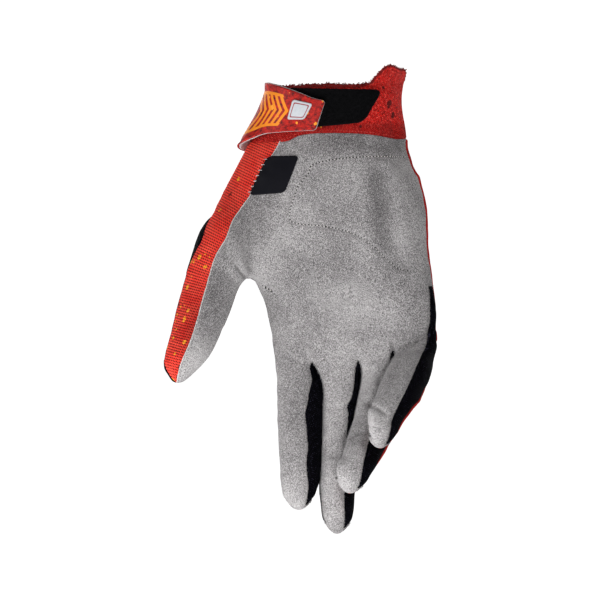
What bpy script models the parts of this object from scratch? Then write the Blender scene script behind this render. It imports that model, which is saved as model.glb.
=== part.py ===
"""Right-hand motocross glove that keeps the form of a half-closed hand.

The palm side faces -Y, the fingers point down and +X runs from the thumb's side to the little
finger's side. The origin is the middle of the wrist opening, and +Z runs up the forearm.

The whole outer skin is one coarse cage that is subdivided. It is then cut along its seams into
cloth panels, each a wall of its own with mitred edges. The loop patch, the strap, its badge and
the palm label are laid on that skin.
"""

import math
from typing import NamedTuple

import bmesh
import bpy
from mathutils import Vector
from mathutils.bvhtree import BVHTree

MM = 0.001

# Hand sizes, in millimetres
CUFF_HEIGHT = 26.0
WRIST_WIDTH = 70.0
WRIST_DEPTH = 47.0
PALM_LENGTH = 111.0
PALM_WIDTH = 83.0
PALM_DEPTH = 36.5
THUMB_LENGTH = 88.0
THUMB_WIDTH = 25.0
INDEX_LENGTH = 79.0
INDEX_WIDTH = 22.0
MIDDLE_LENGTH = 86.0
MIDDLE_WIDTH = 19.0
RING_LENGTH = 81.0
RING_WIDTH = 21.0
LITTLE_LENGTH = 65.0
LITTLE_WIDTH = 19.0

# Cloth sizes, in millimetres
SUEDE_WALL = 1.4
KNIT_WALL = 1.5
MESH_WALL = 1.4
CUFF_WALL = 1.6
SEAM_GAP = 0.35
LAY_GAP = 0.4

# Cuff fittings, in millimetres
TAB_HEIGHT = 9.0
LOOP_WALL = 1.2
LOOP_CORNER = 2.5
STRAP_FACE_WALL = 1.0
STRAP_BACKING_WALL = 1.0
STRAP_EDGE = 0.5
STRAP_CORNER = 2.2
STRAP_WIDTH = 24.0
BADGE_WALL = 0.6
BADGE_WIDTH = 9.6
BADGE_HEIGHT = 8.8
BADGE_CORNER = 0.9
LABEL_WALL = 0.8
LABEL_WIDTH = 14.0
LABEL_HEIGHT = 18.0
LABEL_CORNER = 1.8


class Row(NamedTuple):
    """One section of the palm. Lengths are shares of the palm's, from the cuff seam down."""
    down: float
    left_down: float
    right_down: float
    left: float
    right: float
    left_seam: float
    right_seam: float
    front: float
    back: float
    arch: float
    cup: float


PALM_ROWS = {
    "seam": Row(-0.01, 0.04, 0.03, -0.49, 0.47, -0.295, 0.46, 0.62, 0.61, 0.00, 0.00),
    "wrist": Row(0.10, 0.03, 0.00, -0.555, 0.49, -0.345, 0.48, 0.61, 0.56, 0.00, 0.01),
    "base": Row(0.26, 0.02, -0.01, -0.67, 0.56, -0.465, 0.55, 0.59, 0.48, 0.01, 0.07),
    "thenar_high": Row(0.35, 0.01, -0.01, -0.73, 0.58, -0.49, 0.57, 0.58, 0.45, 0.02, 0.12),
    "thenar": Row(0.45, 0.01, -0.01, -0.75, 0.58, -0.48, 0.57, 0.56, 0.44, 0.05, 0.14),
    "thenar_low": Row(0.55, 0.00, -0.01, -0.65, 0.59, -0.48, 0.58, 0.52, 0.44, 0.08, 0.13),
    "web": Row(0.66, -0.01, 0.02, -0.46, 0.625, -0.43, 0.61, 0.48, 0.44, 0.11, 0.10),
    "knuckles": Row(0.82, -0.05, -0.03, -0.39, 0.645, -0.37, 0.62, 0.42, 0.44, 0.16, 0.03),
    "root": Row(1.02, -0.10, -0.08, -0.35, 0.635, -0.33, 0.58, 0.33, 0.33, 0.22, 0.00),
}
THUMB_ROWS = ("base", "thenar_high", "thenar", "thenar_low", "web")
SIDE_PANEL_ROWS = ("web", "knuckles")


class CuffRow(NamedTuple):
    """One section of the cuff. Its place is a share of the cuff's height, up from the seam."""
    up: float
    left_up: float
    left: float
    right: float
    left_seam: float
    right_seam: float
    front: float
    back: float


CUFF_ROWS = (
    CuffRow(1.00, -0.06, -0.40, 0.52, -0.32, 0.49, 0.50, 0.50),
    CuffRow(0.50, -0.02, -0.45, 0.51, -0.36, 0.48, 0.49, 0.49),
)

# Places of the nine front and nine back columns between the two side seams. Two columns
# make a finger's front, and the third one is the crotch that it shares with the next.
COLUMNS = (0.00, 0.11, 0.235, 0.38, 0.55, 0.655, 0.775, 0.885, 1.00)
CROTCH_COLUMNS = (2, 4, 6)
TAB_COLUMNS = (6, 7, 8)
TAB_ROWS = ((0.55, (0.06, 0.05, 0.02, 0.01)), (1.10, (0.13, 0.08, 0.03, 0.01)))

# Roundness of the hand's sections, and how far the back of a crotch lies above its front
SECTION_POWER = 2.4
CROTCH_RISE = 0.05
CROTCH_DROPS = (0.05, 0.0, 0.0)

# Depth below the hem, as a share of the cuff, from which the strap is laid round the wrist
HEM_MARGIN = 0.14

# Least cosine of the half angle at a panel's sharpest corner
SHARPEST_CORNER = 0.35

# A distance well outside the glove, and the levels of subdivision of its skin
FAR = 200.0
SKIN_LEVELS = 1


class Section(NamedTuple):
    """One section of a digit, from its root on. Lengths are shares of the digit's length,
    width and thick are shares of its width, and the rest are angles in degrees."""
    down: float
    across: float
    forward: float
    width: float
    thick: float
    roll: float
    side: float


class Digit(NamedTuple):
    """A digit: its sizes, where its root lies on the palm, its sections and its tip."""
    length: float
    width: float
    root: tuple
    sections: tuple
    tip: tuple
    tilts: tuple = ()


INDEX = Digit(INDEX_LENGTH, INDEX_WIDTH, (-0.22, 0.97, -0.03), (
    Section(0.17, 0.035, 0.03, 0.99, 0.87, -11, 45),
    Section(0.35, 0.04, 0.06, 1.03, 0.93, -27, 43),
    Section(0.55, 0.04, 0.11, 0.98, 0.91, -29, 41),
    Section(0.74, 0.04, 0.16, 0.91, 0.87, -29, 40),
    Section(0.87, 0.035, 0.19, 0.81, 0.77, -29, 32),
    Section(0.94, 0.04, 0.205, 0.62, 0.60, -29, 28),
), (1.005, 0.045, 0.215))

MIDDLE = Digit(MIDDLE_LENGTH, MIDDLE_WIDTH, (0.04, 1.02, -0.01), (
    Section(0.12, 0.03, 0.02, 1.06, 0.97, -4, 45),
    Section(0.30, 0.025, 0.045, 1.01, 0.95, -23, 44),
    Section(0.48, 0.015, 0.08, 0.98, 0.96, -27, 43),
    Section(0.68, 0.005, 0.12, 0.94, 0.92, -27, 41),
    Section(0.84, 0.005, 0.15, 0.89, 0.86, -27, 36),
    Section(0.93, 0.005, 0.165, 0.73, 0.70, -27, 30),
), (0.998, 0.005, 0.175))

RING = Digit(RING_LENGTH, RING_WIDTH, (0.27, 0.97, 0.05), (
    Section(0.14, 0.03, 0.035, 0.86, 0.86, -15, 45),
    Section(0.29, 0.03, 0.10, 0.95, 0.93, -34, 44),
    Section(0.44, 0.00, 0.185, 1.03, 0.95, -45, 43),
    Section(0.59, -0.065, 0.29, 0.96, 0.88, -48, 42),
    Section(0.71, -0.12, 0.36, 0.84, 0.79, -32, 38),
    Section(0.80, -0.15, 0.40, 0.68, 0.66, -22, 30),
), (0.875, -0.165, 0.42))

LITTLE = Digit(LITTLE_LENGTH, LITTLE_WIDTH, (0.48, 0.94, 0.22), (
    Section(0.12, 0.02, 0.09, 1.02, 0.95, -18, 44),
    Section(0.26, -0.02, 0.22, 1.06, 0.97, -34, 44),
    Section(0.40, -0.08, 0.345, 1.02, 0.92, -42, 42),
    Section(0.54, -0.17, 0.44, 0.88, 0.84, -37, 38),
    Section(0.645, -0.22, 0.49, 0.76, 0.74, -22, 34),
    Section(0.72, -0.235, 0.515, 0.60, 0.60, -12, 28),
), (0.79, -0.24, 0.545))

THUMB = Digit(THUMB_LENGTH, THUMB_WIDTH, (-0.48, 0.45, 0.11), (
    Section(0.055, -0.125, 0.025, 1.46, 1.36, 8, 28),
    Section(0.12, -0.175, 0.055, 1.30, 1.24, 19, 18),
    Section(0.21, -0.21, 0.09, 1.12, 1.12, 28, 23),
    Section(0.33, -0.245, 0.125, 1.03, 1.03, 37, 38),
    Section(0.46, -0.29, 0.165, 1.00, 0.94, 43, 44),
    Section(0.615, -0.335, 0.215, 0.92, 0.86, 46, 45),
    Section(0.70, -0.375, 0.245, 0.78, 0.74, 46, 45),
    Section(0.765, -0.405, 0.265, 0.58, 0.55, 46, 43),
), (0.835, -0.415, 0.285), (61, 54, 43, 30, 22, 18, 15, 13))

FINGERS = (INDEX, MIDDLE, RING, LITTLE)

# A cubic surface runs inside its cage, so the cage is larger: at a digit's sections, at an
# edge between two seams, and at a tip that eight or twelve points close
CAGE_GROWTH = 1.10
EDGE_GROWTH = 0.5
TIP_GROWTH = {8: 2.2, 12: 1.8}

PANELS = (
    "palm_suede",
    "back_panel",
    "fourchette_index_middle",
    "fourchette_middle_ring",
    "fourchette_ring_little",
    "little_side_panel",
    "thumb_gusset",
    "thumb_back_panel",
    "cuff",
)
PALM, BACK, FORK_ONE, FORK_TWO, FORK_THREE, SIDE, GUSSET, THUMB_BACK, CUFF = range(len(PANELS))
PANEL_WALLS = (
    SUEDE_WALL, KNIT_WALL, MESH_WALL, MESH_WALL, MESH_WALL,
    MESH_WALL, KNIT_WALL, MESH_WALL, CUFF_WALL,
)

# Materials: base colour, roughness and metallic value
FINISHES = {
    "palm_suede": ((0.33, 0.32, 0.31), 0.95, 0.0),
    "back_panel": ((0.55, 0.02, 0.02), 0.85, 0.0),
    "fourchette_index_middle": ((0.008, 0.009, 0.014), 0.80, 0.0),
    "fourchette_middle_ring": ((0.008, 0.009, 0.014), 0.80, 0.0),
    "fourchette_ring_little": ((0.008, 0.009, 0.014), 0.80, 0.0),
    "little_side_panel": ((0.008, 0.009, 0.014), 0.80, 0.0),
    "thumb_gusset": ((0.60, 0.03, 0.02), 0.85, 0.0),
    "thumb_back_panel": ((0.008, 0.009, 0.014), 0.80, 0.0),
    "cuff": ((0.55, 0.02, 0.02), 0.85, 0.0),
    "loop_patch": ((0.004, 0.004, 0.005), 0.95, 0.0),
    "strap_backing": ((0.55, 0.52, 0.52), 0.70, 0.0),
    "strap_face": ((0.60, 0.02, 0.02), 0.55, 0.0),
    "strap_badge": ((0.72, 0.74, 0.76), 0.45, 0.0),
    "palm_label": ((0.008, 0.009, 0.014), 0.60, 0.0),
}


def hand_section(x, left, right, front, back, face):
    """Depth of a hand section at x: face is -1 on the palm side, 1 on the back, 0 at the edge."""
    middle = (left + right) / 2
    share = (x - middle) / ((right - left) / 2)
    bulge = max(0.0, 1 - abs(share) ** SECTION_POWER) ** (1 / SECTION_POWER)
    depth = back * bulge if face > 0 else -front * bulge
    return share, depth * abs(face)


def palm_point(row, x_share, face):
    x = x_share * PALM_WIDTH
    share, y = hand_section(
        x, row.left * PALM_WIDTH, row.right * PALM_WIDTH,
        row.front * PALM_DEPTH, row.back * PALM_DEPTH, face)
    if face < 0:
        y += row.cup * PALM_DEPTH * max(0.0, 1 - share * share) ** 2
    y -= row.arch * PALM_DEPTH * max(share, 0.0) ** 2
    edge = row.left_down if share < 0 else row.right_down
    z = -CUFF_HEIGHT - PALM_LENGTH * (row.down + edge * share * share)
    return Vector((x, y, z))


def cuff_point(row, x_share, face):
    x = x_share * WRIST_WIDTH
    share, y = hand_section(
        x, row.left * WRIST_WIDTH, row.right * WRIST_WIDTH,
        row.front * WRIST_DEPTH, row.back * WRIST_DEPTH, face)
    edge = row.left_up if share < 0 else 0.0
    z = -CUFF_HEIGHT * (1 - row.up - edge * share * share)
    return Vector((x, y, z))


class Ring:
    """The cage points of one hand section, kept by column."""

    def __init__(self, cage, row, point, has_left=True):
        span = row.right_seam - row.left_seam
        places = [row.left_seam + column * span for column in COLUMNS]
        self.front = [cage.point(point(row, place, -1)) for place in places]
        self.back = [cage.point(point(row, place, 1)) for place in places]
        right = row.right + EDGE_GROWTH * (row.right - row.right_seam)
        left = row.left + EDGE_GROWTH * (row.left - row.left_seam)
        self.right = cage.point(point(row, right, 0))
        self.left = cage.point(point(row, left, 0)) if has_left else None

    def loop(self):
        return self.front + [self.right] + self.back[::-1] + [self.left]


class Cage:
    """The coarse cage of the glove's skin. Each face remembers its panel."""

    def __init__(self):
        self.mesh = bmesh.new()

    def point(self, place):
        return self.mesh.verts.new(place * MM)

    def face(self, points, panel):
        self.mesh.faces.new(points).material_index = panel

    def tube(self, upper, lower, panels):
        """Joins two loops. A panel of None leaves that strip open."""
        count = len(upper)
        for i, panel in enumerate(panels):
            if panel is not None:
                after = (i + 1) % count
                self.face((upper[i], lower[i], lower[after], upper[after]), panel)

    def cap(self, loop, tip, panels):
        for i, panel in enumerate(panels):
            corner = [loop[2 * i], loop[2 * i + 1], loop[(2 * i + 2) % len(loop)]]
            self.face([corner[1], corner[0], tip, corner[2]], panel)


def digit_place(digit, down, across, forward):
    """A place on a digit's middle line, from shares of the digit's length."""
    root_x, root_down, root_forward = digit.root
    return Vector((
        root_x * PALM_WIDTH + across * digit.length,
        -root_forward * PALM_DEPTH - forward * digit.length,
        -CUFF_HEIGHT - root_down * PALM_LENGTH - down * digit.length,
    ))


def section_angles(section, points):
    """Angles of a section's points: 0 faces the palm side and 90 the little finger's side."""
    if points == 8:
        near = 90 - section.side
        far = 90 + section.side
        angles = [-near, 0, near, 90, far, 180, -far, -90]
    else:
        seam = -45
        back = seam - 2 * section.side
        behind = 135
        step = (back + 360 - behind) / 4
        angles = [seam, -22.5, 0, 22.5, 45, 90]
        angles += [behind + step * i for i in range(5)]
        angles.append(seam - section.side)
    return [math.radians(angle + section.roll) for angle in angles]


def add_digit(cage, digit, root_loop, side_panels, cap_panels):
    """Grows a digit from its root loop, section by section, and closes its tip."""
    places = [digit_place(digit, 0, 0, 0)]
    places += [digit_place(digit, s.down, s.across, s.forward) for s in digit.sections]
    tip = digit_place(digit, *digit.tip)
    places.append(tip)
    loop = root_loop
    for i, section in enumerate(digit.sections, start=1):
        axis = (places[i + 1] - places[i - 1]).normalized()
        if digit.tilts:
            tilt = math.radians(digit.tilts[i - 1])
            across = Vector((math.cos(tilt), 0, -math.sin(tilt)))
        else:
            across = Vector((-axis.z, 0, axis.x)).normalized()
        palmward = across.cross(axis).normalized()
        if palmward.y > 0:
            palmward.negate()
        half_width = section.width * digit.width / 2 * CAGE_GROWTH
        half_thick = section.thick * digit.width / 2 * CAGE_GROWTH
        ring = []
        for angle in section_angles(section, len(root_loop)):
            side = across * half_width * math.sin(angle)
            ring.append(cage.point(places[i] + side + palmward * half_thick * math.cos(angle)))
        cage.tube(loop, ring, side_panels)
        loop = ring
    end = places[-2] + (tip - places[-2]) * TIP_GROWTH[len(root_loop)]
    cage.cap(loop, cage.point(end), cap_panels)


def build_cage():
    cage = Cage()
    rings = {}
    for name, row in PALM_ROWS.items():
        in_thumb = name in THUMB_ROWS[1:-1]
        rings[name] = Ring(cage, row, palm_point, has_left=not in_thumb)

    # Cuff, from its hem down to the seam
    cuff_loops = [Ring(cage, row, cuff_point) for row in CUFF_ROWS] + [rings["seam"]]
    for upper, lower in zip(cuff_loops, cuff_loops[1:]):
        cage.tube(upper.loop(), lower.loop(), [CUFF] * 20)

    # Pull tab, which rises from the hem on the little finger's side
    hem = [cuff_loops[0].front[column] for column in TAB_COLUMNS] + [cuff_loops[0].right]
    lower = hem
    for height, leans in TAB_ROWS:
        upper = []
        for corner, lean in zip(hem, leans):
            move = Vector((lean * WRIST_WIDTH, 0, height * TAB_HEIGHT))
            upper.append(cage.point(corner.co / MM + move))
        for i in range(len(hem) - 1):
            cage.face((upper[i], lower[i], lower[i + 1], upper[i + 1]), CUFF)
        lower = upper

    # Palm and back of the hand, open where the thumb leaves
    names = list(PALM_ROWS)
    for upper_name, lower_name in zip(names, names[1:]):
        side = SIDE if upper_name in SIDE_PANEL_ROWS else PALM
        if upper_name in THUMB_ROWS[:-1]:
            left = [None, None]
        elif upper_name in ("seam", "wrist"):
            left = [GUSSET, GUSSET]
        else:
            left = [BACK, PALM]
        panels = [PALM] * 8 + [side] + [BACK] * 9 + left
        cage.tube(rings[upper_name].loop(), rings[lower_name].loop(), panels)

    # Thumb, from the opening on the thumb's side
    front = [rings[name].front[0] for name in THUMB_ROWS]
    back = [rings[name].back[0] for name in THUMB_ROWS]
    root = front + [rings["web"].left] + back[::-1] + [rings["base"].left]
    panels = [PALM] * 5 + [THUMB_BACK] * 5 + [GUSSET] * 2
    caps = [PALM] * 3 + [THUMB_BACK] * 2 + [GUSSET]
    add_digit(cage, THUMB, root, panels, caps)

    # Fingers, with a crotch point between each two
    ring = rings["root"]
    crotches = []
    for column, drop in zip(CROTCH_COLUMNS, CROTCH_DROPS):
        ring.front[column].co.z -= drop * PALM_LENGTH * MM
        middle = (ring.front[column].co + ring.back[column].co) / (2 * MM)
        rise = Vector((0, 0, CROTCH_RISE * PALM_LENGTH))
        ring.back[column].co += 2 * rise * MM
        crotches.append(cage.point(middle + rise))
    sides = [ring.left] + crotches + [ring.right]
    right_panels = [FORK_ONE, FORK_TWO, FORK_THREE, SIDE]
    left_panels = [(BACK, PALM), (FORK_ONE, FORK_ONE), (FORK_TWO, FORK_TWO), (FORK_THREE, FORK_THREE)]
    for number, digit in enumerate(FINGERS):
        first = 2 * number
        root = ring.front[first:first + 3] + [sides[number + 1]]
        root += ring.back[first:first + 3][::-1] + [sides[number]]
        panels = [PALM] * 2 + [right_panels[number]] * 2 + [BACK] * 2 + list(left_panels[number])
        add_digit(cage, digit, root, panels, [PALM, PALM, BACK, PALM])
    return cage.mesh


def remove_everything():
    for thing in list(bpy.data.objects):
        bpy.data.objects.remove(thing, do_unlink=True)


def subdivided(cage, levels):
    """The cage as a smooth surface, with one panel number a face."""
    mesh = bpy.data.meshes.new("skin_cage")
    cage.to_mesh(mesh)
    skin = bpy.data.objects.new("skin_cage", mesh)
    bpy.context.scene.collection.objects.link(skin)
    smooth = skin.modifiers.new("smooth", "SUBSURF")
    smooth.levels = levels
    smooth.render_levels = levels
    for _ in PANELS:
        mesh.materials.append(None)
    graph = bpy.context.evaluated_depsgraph_get()
    result = bmesh.new()
    result.from_mesh(bpy.data.meshes.new_from_object(skin.evaluated_get(graph)))
    bpy.data.objects.remove(skin, do_unlink=True)
    result.normal_update()
    return result


def seam_shift(vert, panel):
    """How far a panel's corner moves off its seams, within the panel's own surface."""
    pulls = []
    for edge in vert.link_edges:
        mine = [face for face in edge.link_faces if face.material_index == panel]
        if len(mine) == 1 and len(edge.link_faces) == 2:
            along = (edge.other_vert(vert).co - vert.co).normalized()
            inward = mine[0].calc_center_median() - vert.co
            inward -= along * inward.dot(along)
            inward -= vert.normal * inward.dot(vert.normal)
            pulls.append(inward.normalized())
    if not pulls:
        return Vector()
    total = Vector()
    for pull in pulls:
        total += pull
    if total.length < 1e-6:
        return Vector()
    closeness = max(SHARPEST_CORNER, total.normalized().dot(pulls[0]))
    return total.normalized() * (SEAM_GAP / 2 * MM / closeness)


def make_object(name, mesh, collection):
    made = bpy.data.objects.new(name, mesh)
    colour, roughness, metallic = FINISHES[name]
    material = bpy.data.materials.new(name)
    material.use_nodes = True
    shader = material.node_tree.nodes["Principled BSDF"]
    shader.inputs["Base Color"].default_value = (*colour, 1)
    shader.inputs["Roughness"].default_value = roughness
    shader.inputs["Metallic"].default_value = metallic
    mesh.materials.clear()
    mesh.materials.append(material)
    mesh.shade_smooth()
    mesh.set_sharp_from_angle(angle=math.radians(50))
    collection.objects.link(made)
    return made


def panel_wall(skin, panel, collection):
    """One cloth panel of the skin as a closed wall, clear of its neighbours at every seam."""
    wall = skin.copy()
    inward = wall.verts.layers.float_vector.new("inward")
    number = wall.verts.layers.int.new("number")
    inner = wall.verts.layers.int.new("inner")
    for i, vert in enumerate(wall.verts):
        vert[inward] = -vert.normal * PANEL_WALLS[panel] * MM
        vert[number] = i
    shifts = {vert: seam_shift(vert, panel) for vert in wall.verts}
    for vert, shift in shifts.items():
        vert.co += shift
    others = [face for face in wall.faces if face.material_index != panel]
    bmesh.ops.delete(wall, geom=others, context="FACES")
    outer = wall.faces[:]
    grown = bmesh.ops.extrude_face_region(wall, geom=outer, use_keep_orig=True)
    for item in grown["geom"]:
        if isinstance(item, bmesh.types.BMVert):
            item.co += item[inward]
            item[inner] = 1

    # Both sides of a seam twist alike, because each edge face is split on the same diagonal
    for face in [face for face in wall.faces if {v[inner] for v in face.verts} == {0, 1}]:
        low, high = sorted((v for v in face.verts if not v[inner]), key=lambda v: v[number])
        far = next(v for v in face.verts if v[inner] and v[number] == high[number])
        bmesh.utils.face_split(face, low, far)
    bmesh.ops.recalc_face_normals(wall, faces=wall.faces[:])
    mesh = bpy.data.meshes.new(PANELS[panel])
    wall.to_mesh(mesh)
    wall.free()
    for polygon in mesh.polygons:
        polygon.material_index = 0
    return make_object(PANELS[panel], mesh, collection)


class Surface:
    """A surface that cloth is laid on. Above its top, cloth keeps the form that it has there."""

    def __init__(self, mesh, top=0.0):
        self.tree = BVHTree.FromBMesh(mesh)
        self.top = top

    def in_front(self, x, z, lift):
        """The place on the palm side at x and z, lifted by some millimetres."""
        start = Vector((x, -FAR, z)) * MM
        place, normal, _, _ = self.tree.ray_cast(start, Vector((0, 1, 0)))
        return place + normal * lift * MM

    def around(self, angle, z, lift):
        """The place round the wrist at an angle: 0 on the palm side, 90 on the thumb's side."""
        turn = math.radians(angle)
        outward = Vector((-math.sin(turn), -math.cos(turn), 0))
        level = Vector((0, 0, min(z, self.top) * MM))
        place, _, _, _ = self.tree.ray_cast(level + outward * FAR * MM, -outward)
        return Vector((place.x, place.y, z * MM)) + outward * lift * MM


def laid_sheet(name, points, wall, corner, collection):
    """A grid of places as a sheet with rounded corners and a thickness towards the outside."""
    sheet = bmesh.new()
    verts = [[sheet.verts.new(place) for place in line] for line in points]
    for upper, lower in zip(verts, verts[1:]):
        for i in range(len(upper) - 1):
            sheet.faces.new((upper[i], lower[i], lower[i + 1], upper[i + 1]))
    corners = [verts[0][0], verts[0][-1], verts[-1][0], verts[-1][-1]]
    bmesh.ops.bevel(
        sheet, geom=corners, affect="VERTICES", offset=corner * MM, segments=3, profile=0.5)
    bmesh.ops.triangulate(sheet, faces=[face for face in sheet.faces if len(face.verts) > 4])
    sheet.normal_update()
    mesh = bpy.data.meshes.new(name)
    sheet.to_mesh(mesh)
    sheet.free()
    made = make_object(name, mesh, collection)
    thick = made.modifiers.new("thickness", "SOLIDIFY")
    thick.thickness = wall * MM
    thick.offset = 1.0
    thick.use_even_offset = True
    return made


def quad_grid(corners, columns, rows):
    """Even places inside a four-cornered outline: upper left, upper right, lower left, lower right."""
    upper_left, upper_right, lower_left, lower_right = (Vector(corner) for corner in corners)
    grid = []
    for row in range(rows + 1):
        left = upper_left.lerp(lower_left, row / rows)
        right = upper_right.lerp(lower_right, row / rows)
        grid.append([left.lerp(right, column / columns) for column in range(columns + 1)])
    return grid


# Outline of the loop patch: shares of the wrist's width and of the cuff's height
LOOP_OUTLINE = ((-0.31, -0.09), (0.365, -0.12), (-0.27, -0.88), (0.235, -0.74))

# Columns and rows of each patch's grid
LOOP_GRID = (12, 3)
BADGE_GRID = (3, 3)
LABEL_GRID = (3, 4)


def add_loop_patch(skin, collection):
    corners = [(x * WRIST_WIDTH, z * CUFF_HEIGHT) for x, z in LOOP_OUTLINE]
    grid = [[skin.in_front(place.x, place.y, LAY_GAP) for place in line]
            for line in quad_grid(corners, *LOOP_GRID)]
    return laid_sheet("loop_patch", grid, LOOP_WALL, LOOP_CORNER, collection)


class Station(NamedTuple):
    """One line across the strap: angles round the wrist, shares of the strap's width, how far
    it is lifted by the loop patch (1 on the patch, 0 on the cuff), and how far its two edges
    stand off further in millimetres."""
    top_angle: float
    top_down: float
    bottom_angle: float
    bottom_down: float
    over: float
    top_off: float
    bottom_off: float


STRAP = (
    Station(6, 0.39, 20, 0.96, 1.0, 0.0, 0.0),
    Station(20, 0.33, 33, 0.97, 1.0, 0.0, 0.0),
    Station(34, 0.22, 46, 0.98, 1.0, 0.0, 0.0),
    Station(50, 0.11, 60, 1.00, 1.0, 0.2, 0.2),
    Station(68, 0.03, 74, 1.04, 0.8, 0.6, 0.8),
    Station(86, -0.01, 88, 1.22, 0.5, 1.0, 2.1),
    Station(104, 0.00, 104, 1.38, 0.3, 0.9, 2.6),
    Station(124, 0.04, 124, 1.38, 0.1, 0.4, 1.2),
    Station(146, 0.08, 146, 1.36, 0.0, 0.0, 0.0),
)
STRAP_ROWS = 3
STRAP_STEPS = 2


def strap_lines():
    """The strap's stations, with even steps between each two."""
    lines = []
    for first, second in zip(STRAP, STRAP[1:]):
        for step in range(STRAP_STEPS):
            share = step / STRAP_STEPS
            lines.append(Station(*(a + (b - a) * share for a, b in zip(first, second))))
    return lines + [STRAP[-1]]


def strap_grid(skin, lift, grow):
    """Places of the strap round the wrist, grown at its edges by some millimetres."""
    grid = []
    for row in range(STRAP_ROWS + 1):
        share = row / STRAP_ROWS
        line = []
        for number, station in enumerate(strap_lines()):
            top = -station.top_down * STRAP_WIDTH + grow
            bottom = -station.bottom_down * STRAP_WIDTH - grow
            angle = station.top_angle + (station.bottom_angle - station.top_angle) * share
            if number == 0:
                angle -= math.degrees(2 * grow / WRIST_WIDTH)
            height = top + (bottom - top) * share
            stand_off = station.top_off + (station.bottom_off - station.top_off) * share ** 2
            patch = station.over * (LOOP_WALL + LAY_GAP)
            line.append(skin.around(angle, height, lift + patch + stand_off))
        grid.append(line[::-1])
    return grid


def add_strap(skin, collection):
    face_lift = LAY_GAP + STRAP_BACKING_WALL + LAY_GAP
    laid_sheet(
        "strap_backing", strap_grid(skin, LAY_GAP, STRAP_EDGE), STRAP_BACKING_WALL,
        STRAP_CORNER, collection)
    return laid_sheet(
        "strap_face", strap_grid(skin, face_lift, 0.0), STRAP_FACE_WALL, STRAP_CORNER, collection)


def outer_surface(made):
    """The evaluated mesh of an object as a surface to lay things on."""
    graph = bpy.context.evaluated_depsgraph_get()
    mesh = bmesh.new()
    mesh.from_object(made, graph)
    surface = Surface(mesh)
    mesh.free()
    return surface


# Badge on the strap: its middle round the wrist, and its slanted sides
BADGE_PLACE = (-0.22, -0.54)
BADGE_OUTLINE = ((-0.32, 0.55), (0.70, 0.30), (-0.62, -0.58), (0.27, -0.58))

# Label on the palm: its middle from the suede's upper left corner, and its slanted sides
LABEL_PLACE = (-0.31, -0.18)
LABEL_OUTLINE = ((-0.14, 0.52), (0.74, 0.55), (-0.80, -0.54), (0.22, -0.48))


def patch_corners(centre, width, height, outline):
    return [(centre[0] + x * width, centre[1] + z * height) for x, z in outline]


def add_badge(strap, collection):
    centre = (BADGE_PLACE[0] * WRIST_WIDTH, BADGE_PLACE[1] * STRAP_WIDTH)
    corners = patch_corners(centre, BADGE_WIDTH, BADGE_HEIGHT, BADGE_OUTLINE)
    grid = [[strap.in_front(place.x, place.y, LAY_GAP) for place in line]
            for line in quad_grid(corners, *BADGE_GRID)]
    return laid_sheet("strap_badge", grid, BADGE_WALL, BADGE_CORNER, collection)


def add_label(skin, collection):
    centre = (LABEL_PLACE[0] * PALM_WIDTH, -CUFF_HEIGHT + LABEL_PLACE[1] * PALM_LENGTH)
    corners = patch_corners(centre, LABEL_WIDTH, LABEL_HEIGHT, LABEL_OUTLINE)
    grid = [[skin.in_front(place.x, place.y, LAY_GAP) for place in line]
            for line in quad_grid(corners, *LABEL_GRID)]
    return laid_sheet("palm_label", grid, LABEL_WALL, LABEL_CORNER, collection)


def build():
    remove_everything()
    collection = bpy.data.collections.new("motocross_glove")
    bpy.context.scene.collection.children.link(collection)
    skin = subdivided(build_cage(), SKIN_LEVELS)
    for panel in range(len(PANELS)):
        panel_wall(skin, panel, collection)
    outside = Surface(skin, -HEM_MARGIN * CUFF_HEIGHT)
    add_loop_patch(outside, collection)
    strap_face = add_strap(outside, collection)
    add_badge(outer_surface(strap_face), collection)
    add_label(outside, collection)
    skin.free()


build()
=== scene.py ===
"""Looks of a right-hand motocross glove that keeps the form of a half-closed hand.

The palm side faces -Y and the fingers point down. The sections follow the glove as it is sewn:
its form, the suede palm, the knit and mesh panels, the cuff and its strap, then the threads.
"""

import math
from typing import NamedTuple

import bmesh
import bpy
import numpy as np
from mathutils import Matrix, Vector, noise
from mathutils.bvhtree import BVHTree
from mathutils.kdtree import KDTree


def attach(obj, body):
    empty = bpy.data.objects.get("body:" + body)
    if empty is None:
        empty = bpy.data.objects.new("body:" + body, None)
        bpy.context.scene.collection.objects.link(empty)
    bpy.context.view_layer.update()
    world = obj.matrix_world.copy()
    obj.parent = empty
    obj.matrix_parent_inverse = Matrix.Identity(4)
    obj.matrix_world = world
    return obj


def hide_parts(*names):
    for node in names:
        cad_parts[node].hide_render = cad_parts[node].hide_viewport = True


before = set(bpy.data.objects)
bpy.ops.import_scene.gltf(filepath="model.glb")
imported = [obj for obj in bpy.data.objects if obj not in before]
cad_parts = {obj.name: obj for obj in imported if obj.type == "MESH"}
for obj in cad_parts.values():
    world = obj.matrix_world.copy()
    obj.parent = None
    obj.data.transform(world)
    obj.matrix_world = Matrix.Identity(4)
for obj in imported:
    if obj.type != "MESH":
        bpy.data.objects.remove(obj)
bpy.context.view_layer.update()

# The glove's form
# Every panel is cut from one skin, which has the shape of the worn glove: a cuff, a palm that
# opens at the thumb, four fingers and a thumb, grown from a coarse cage and subdivided.

# The scene is in metres, and the sizes and places below are in millimetres
MM = 0.001
SKIN_LEVELS = 4
LINING_LEVELS = 3

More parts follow.
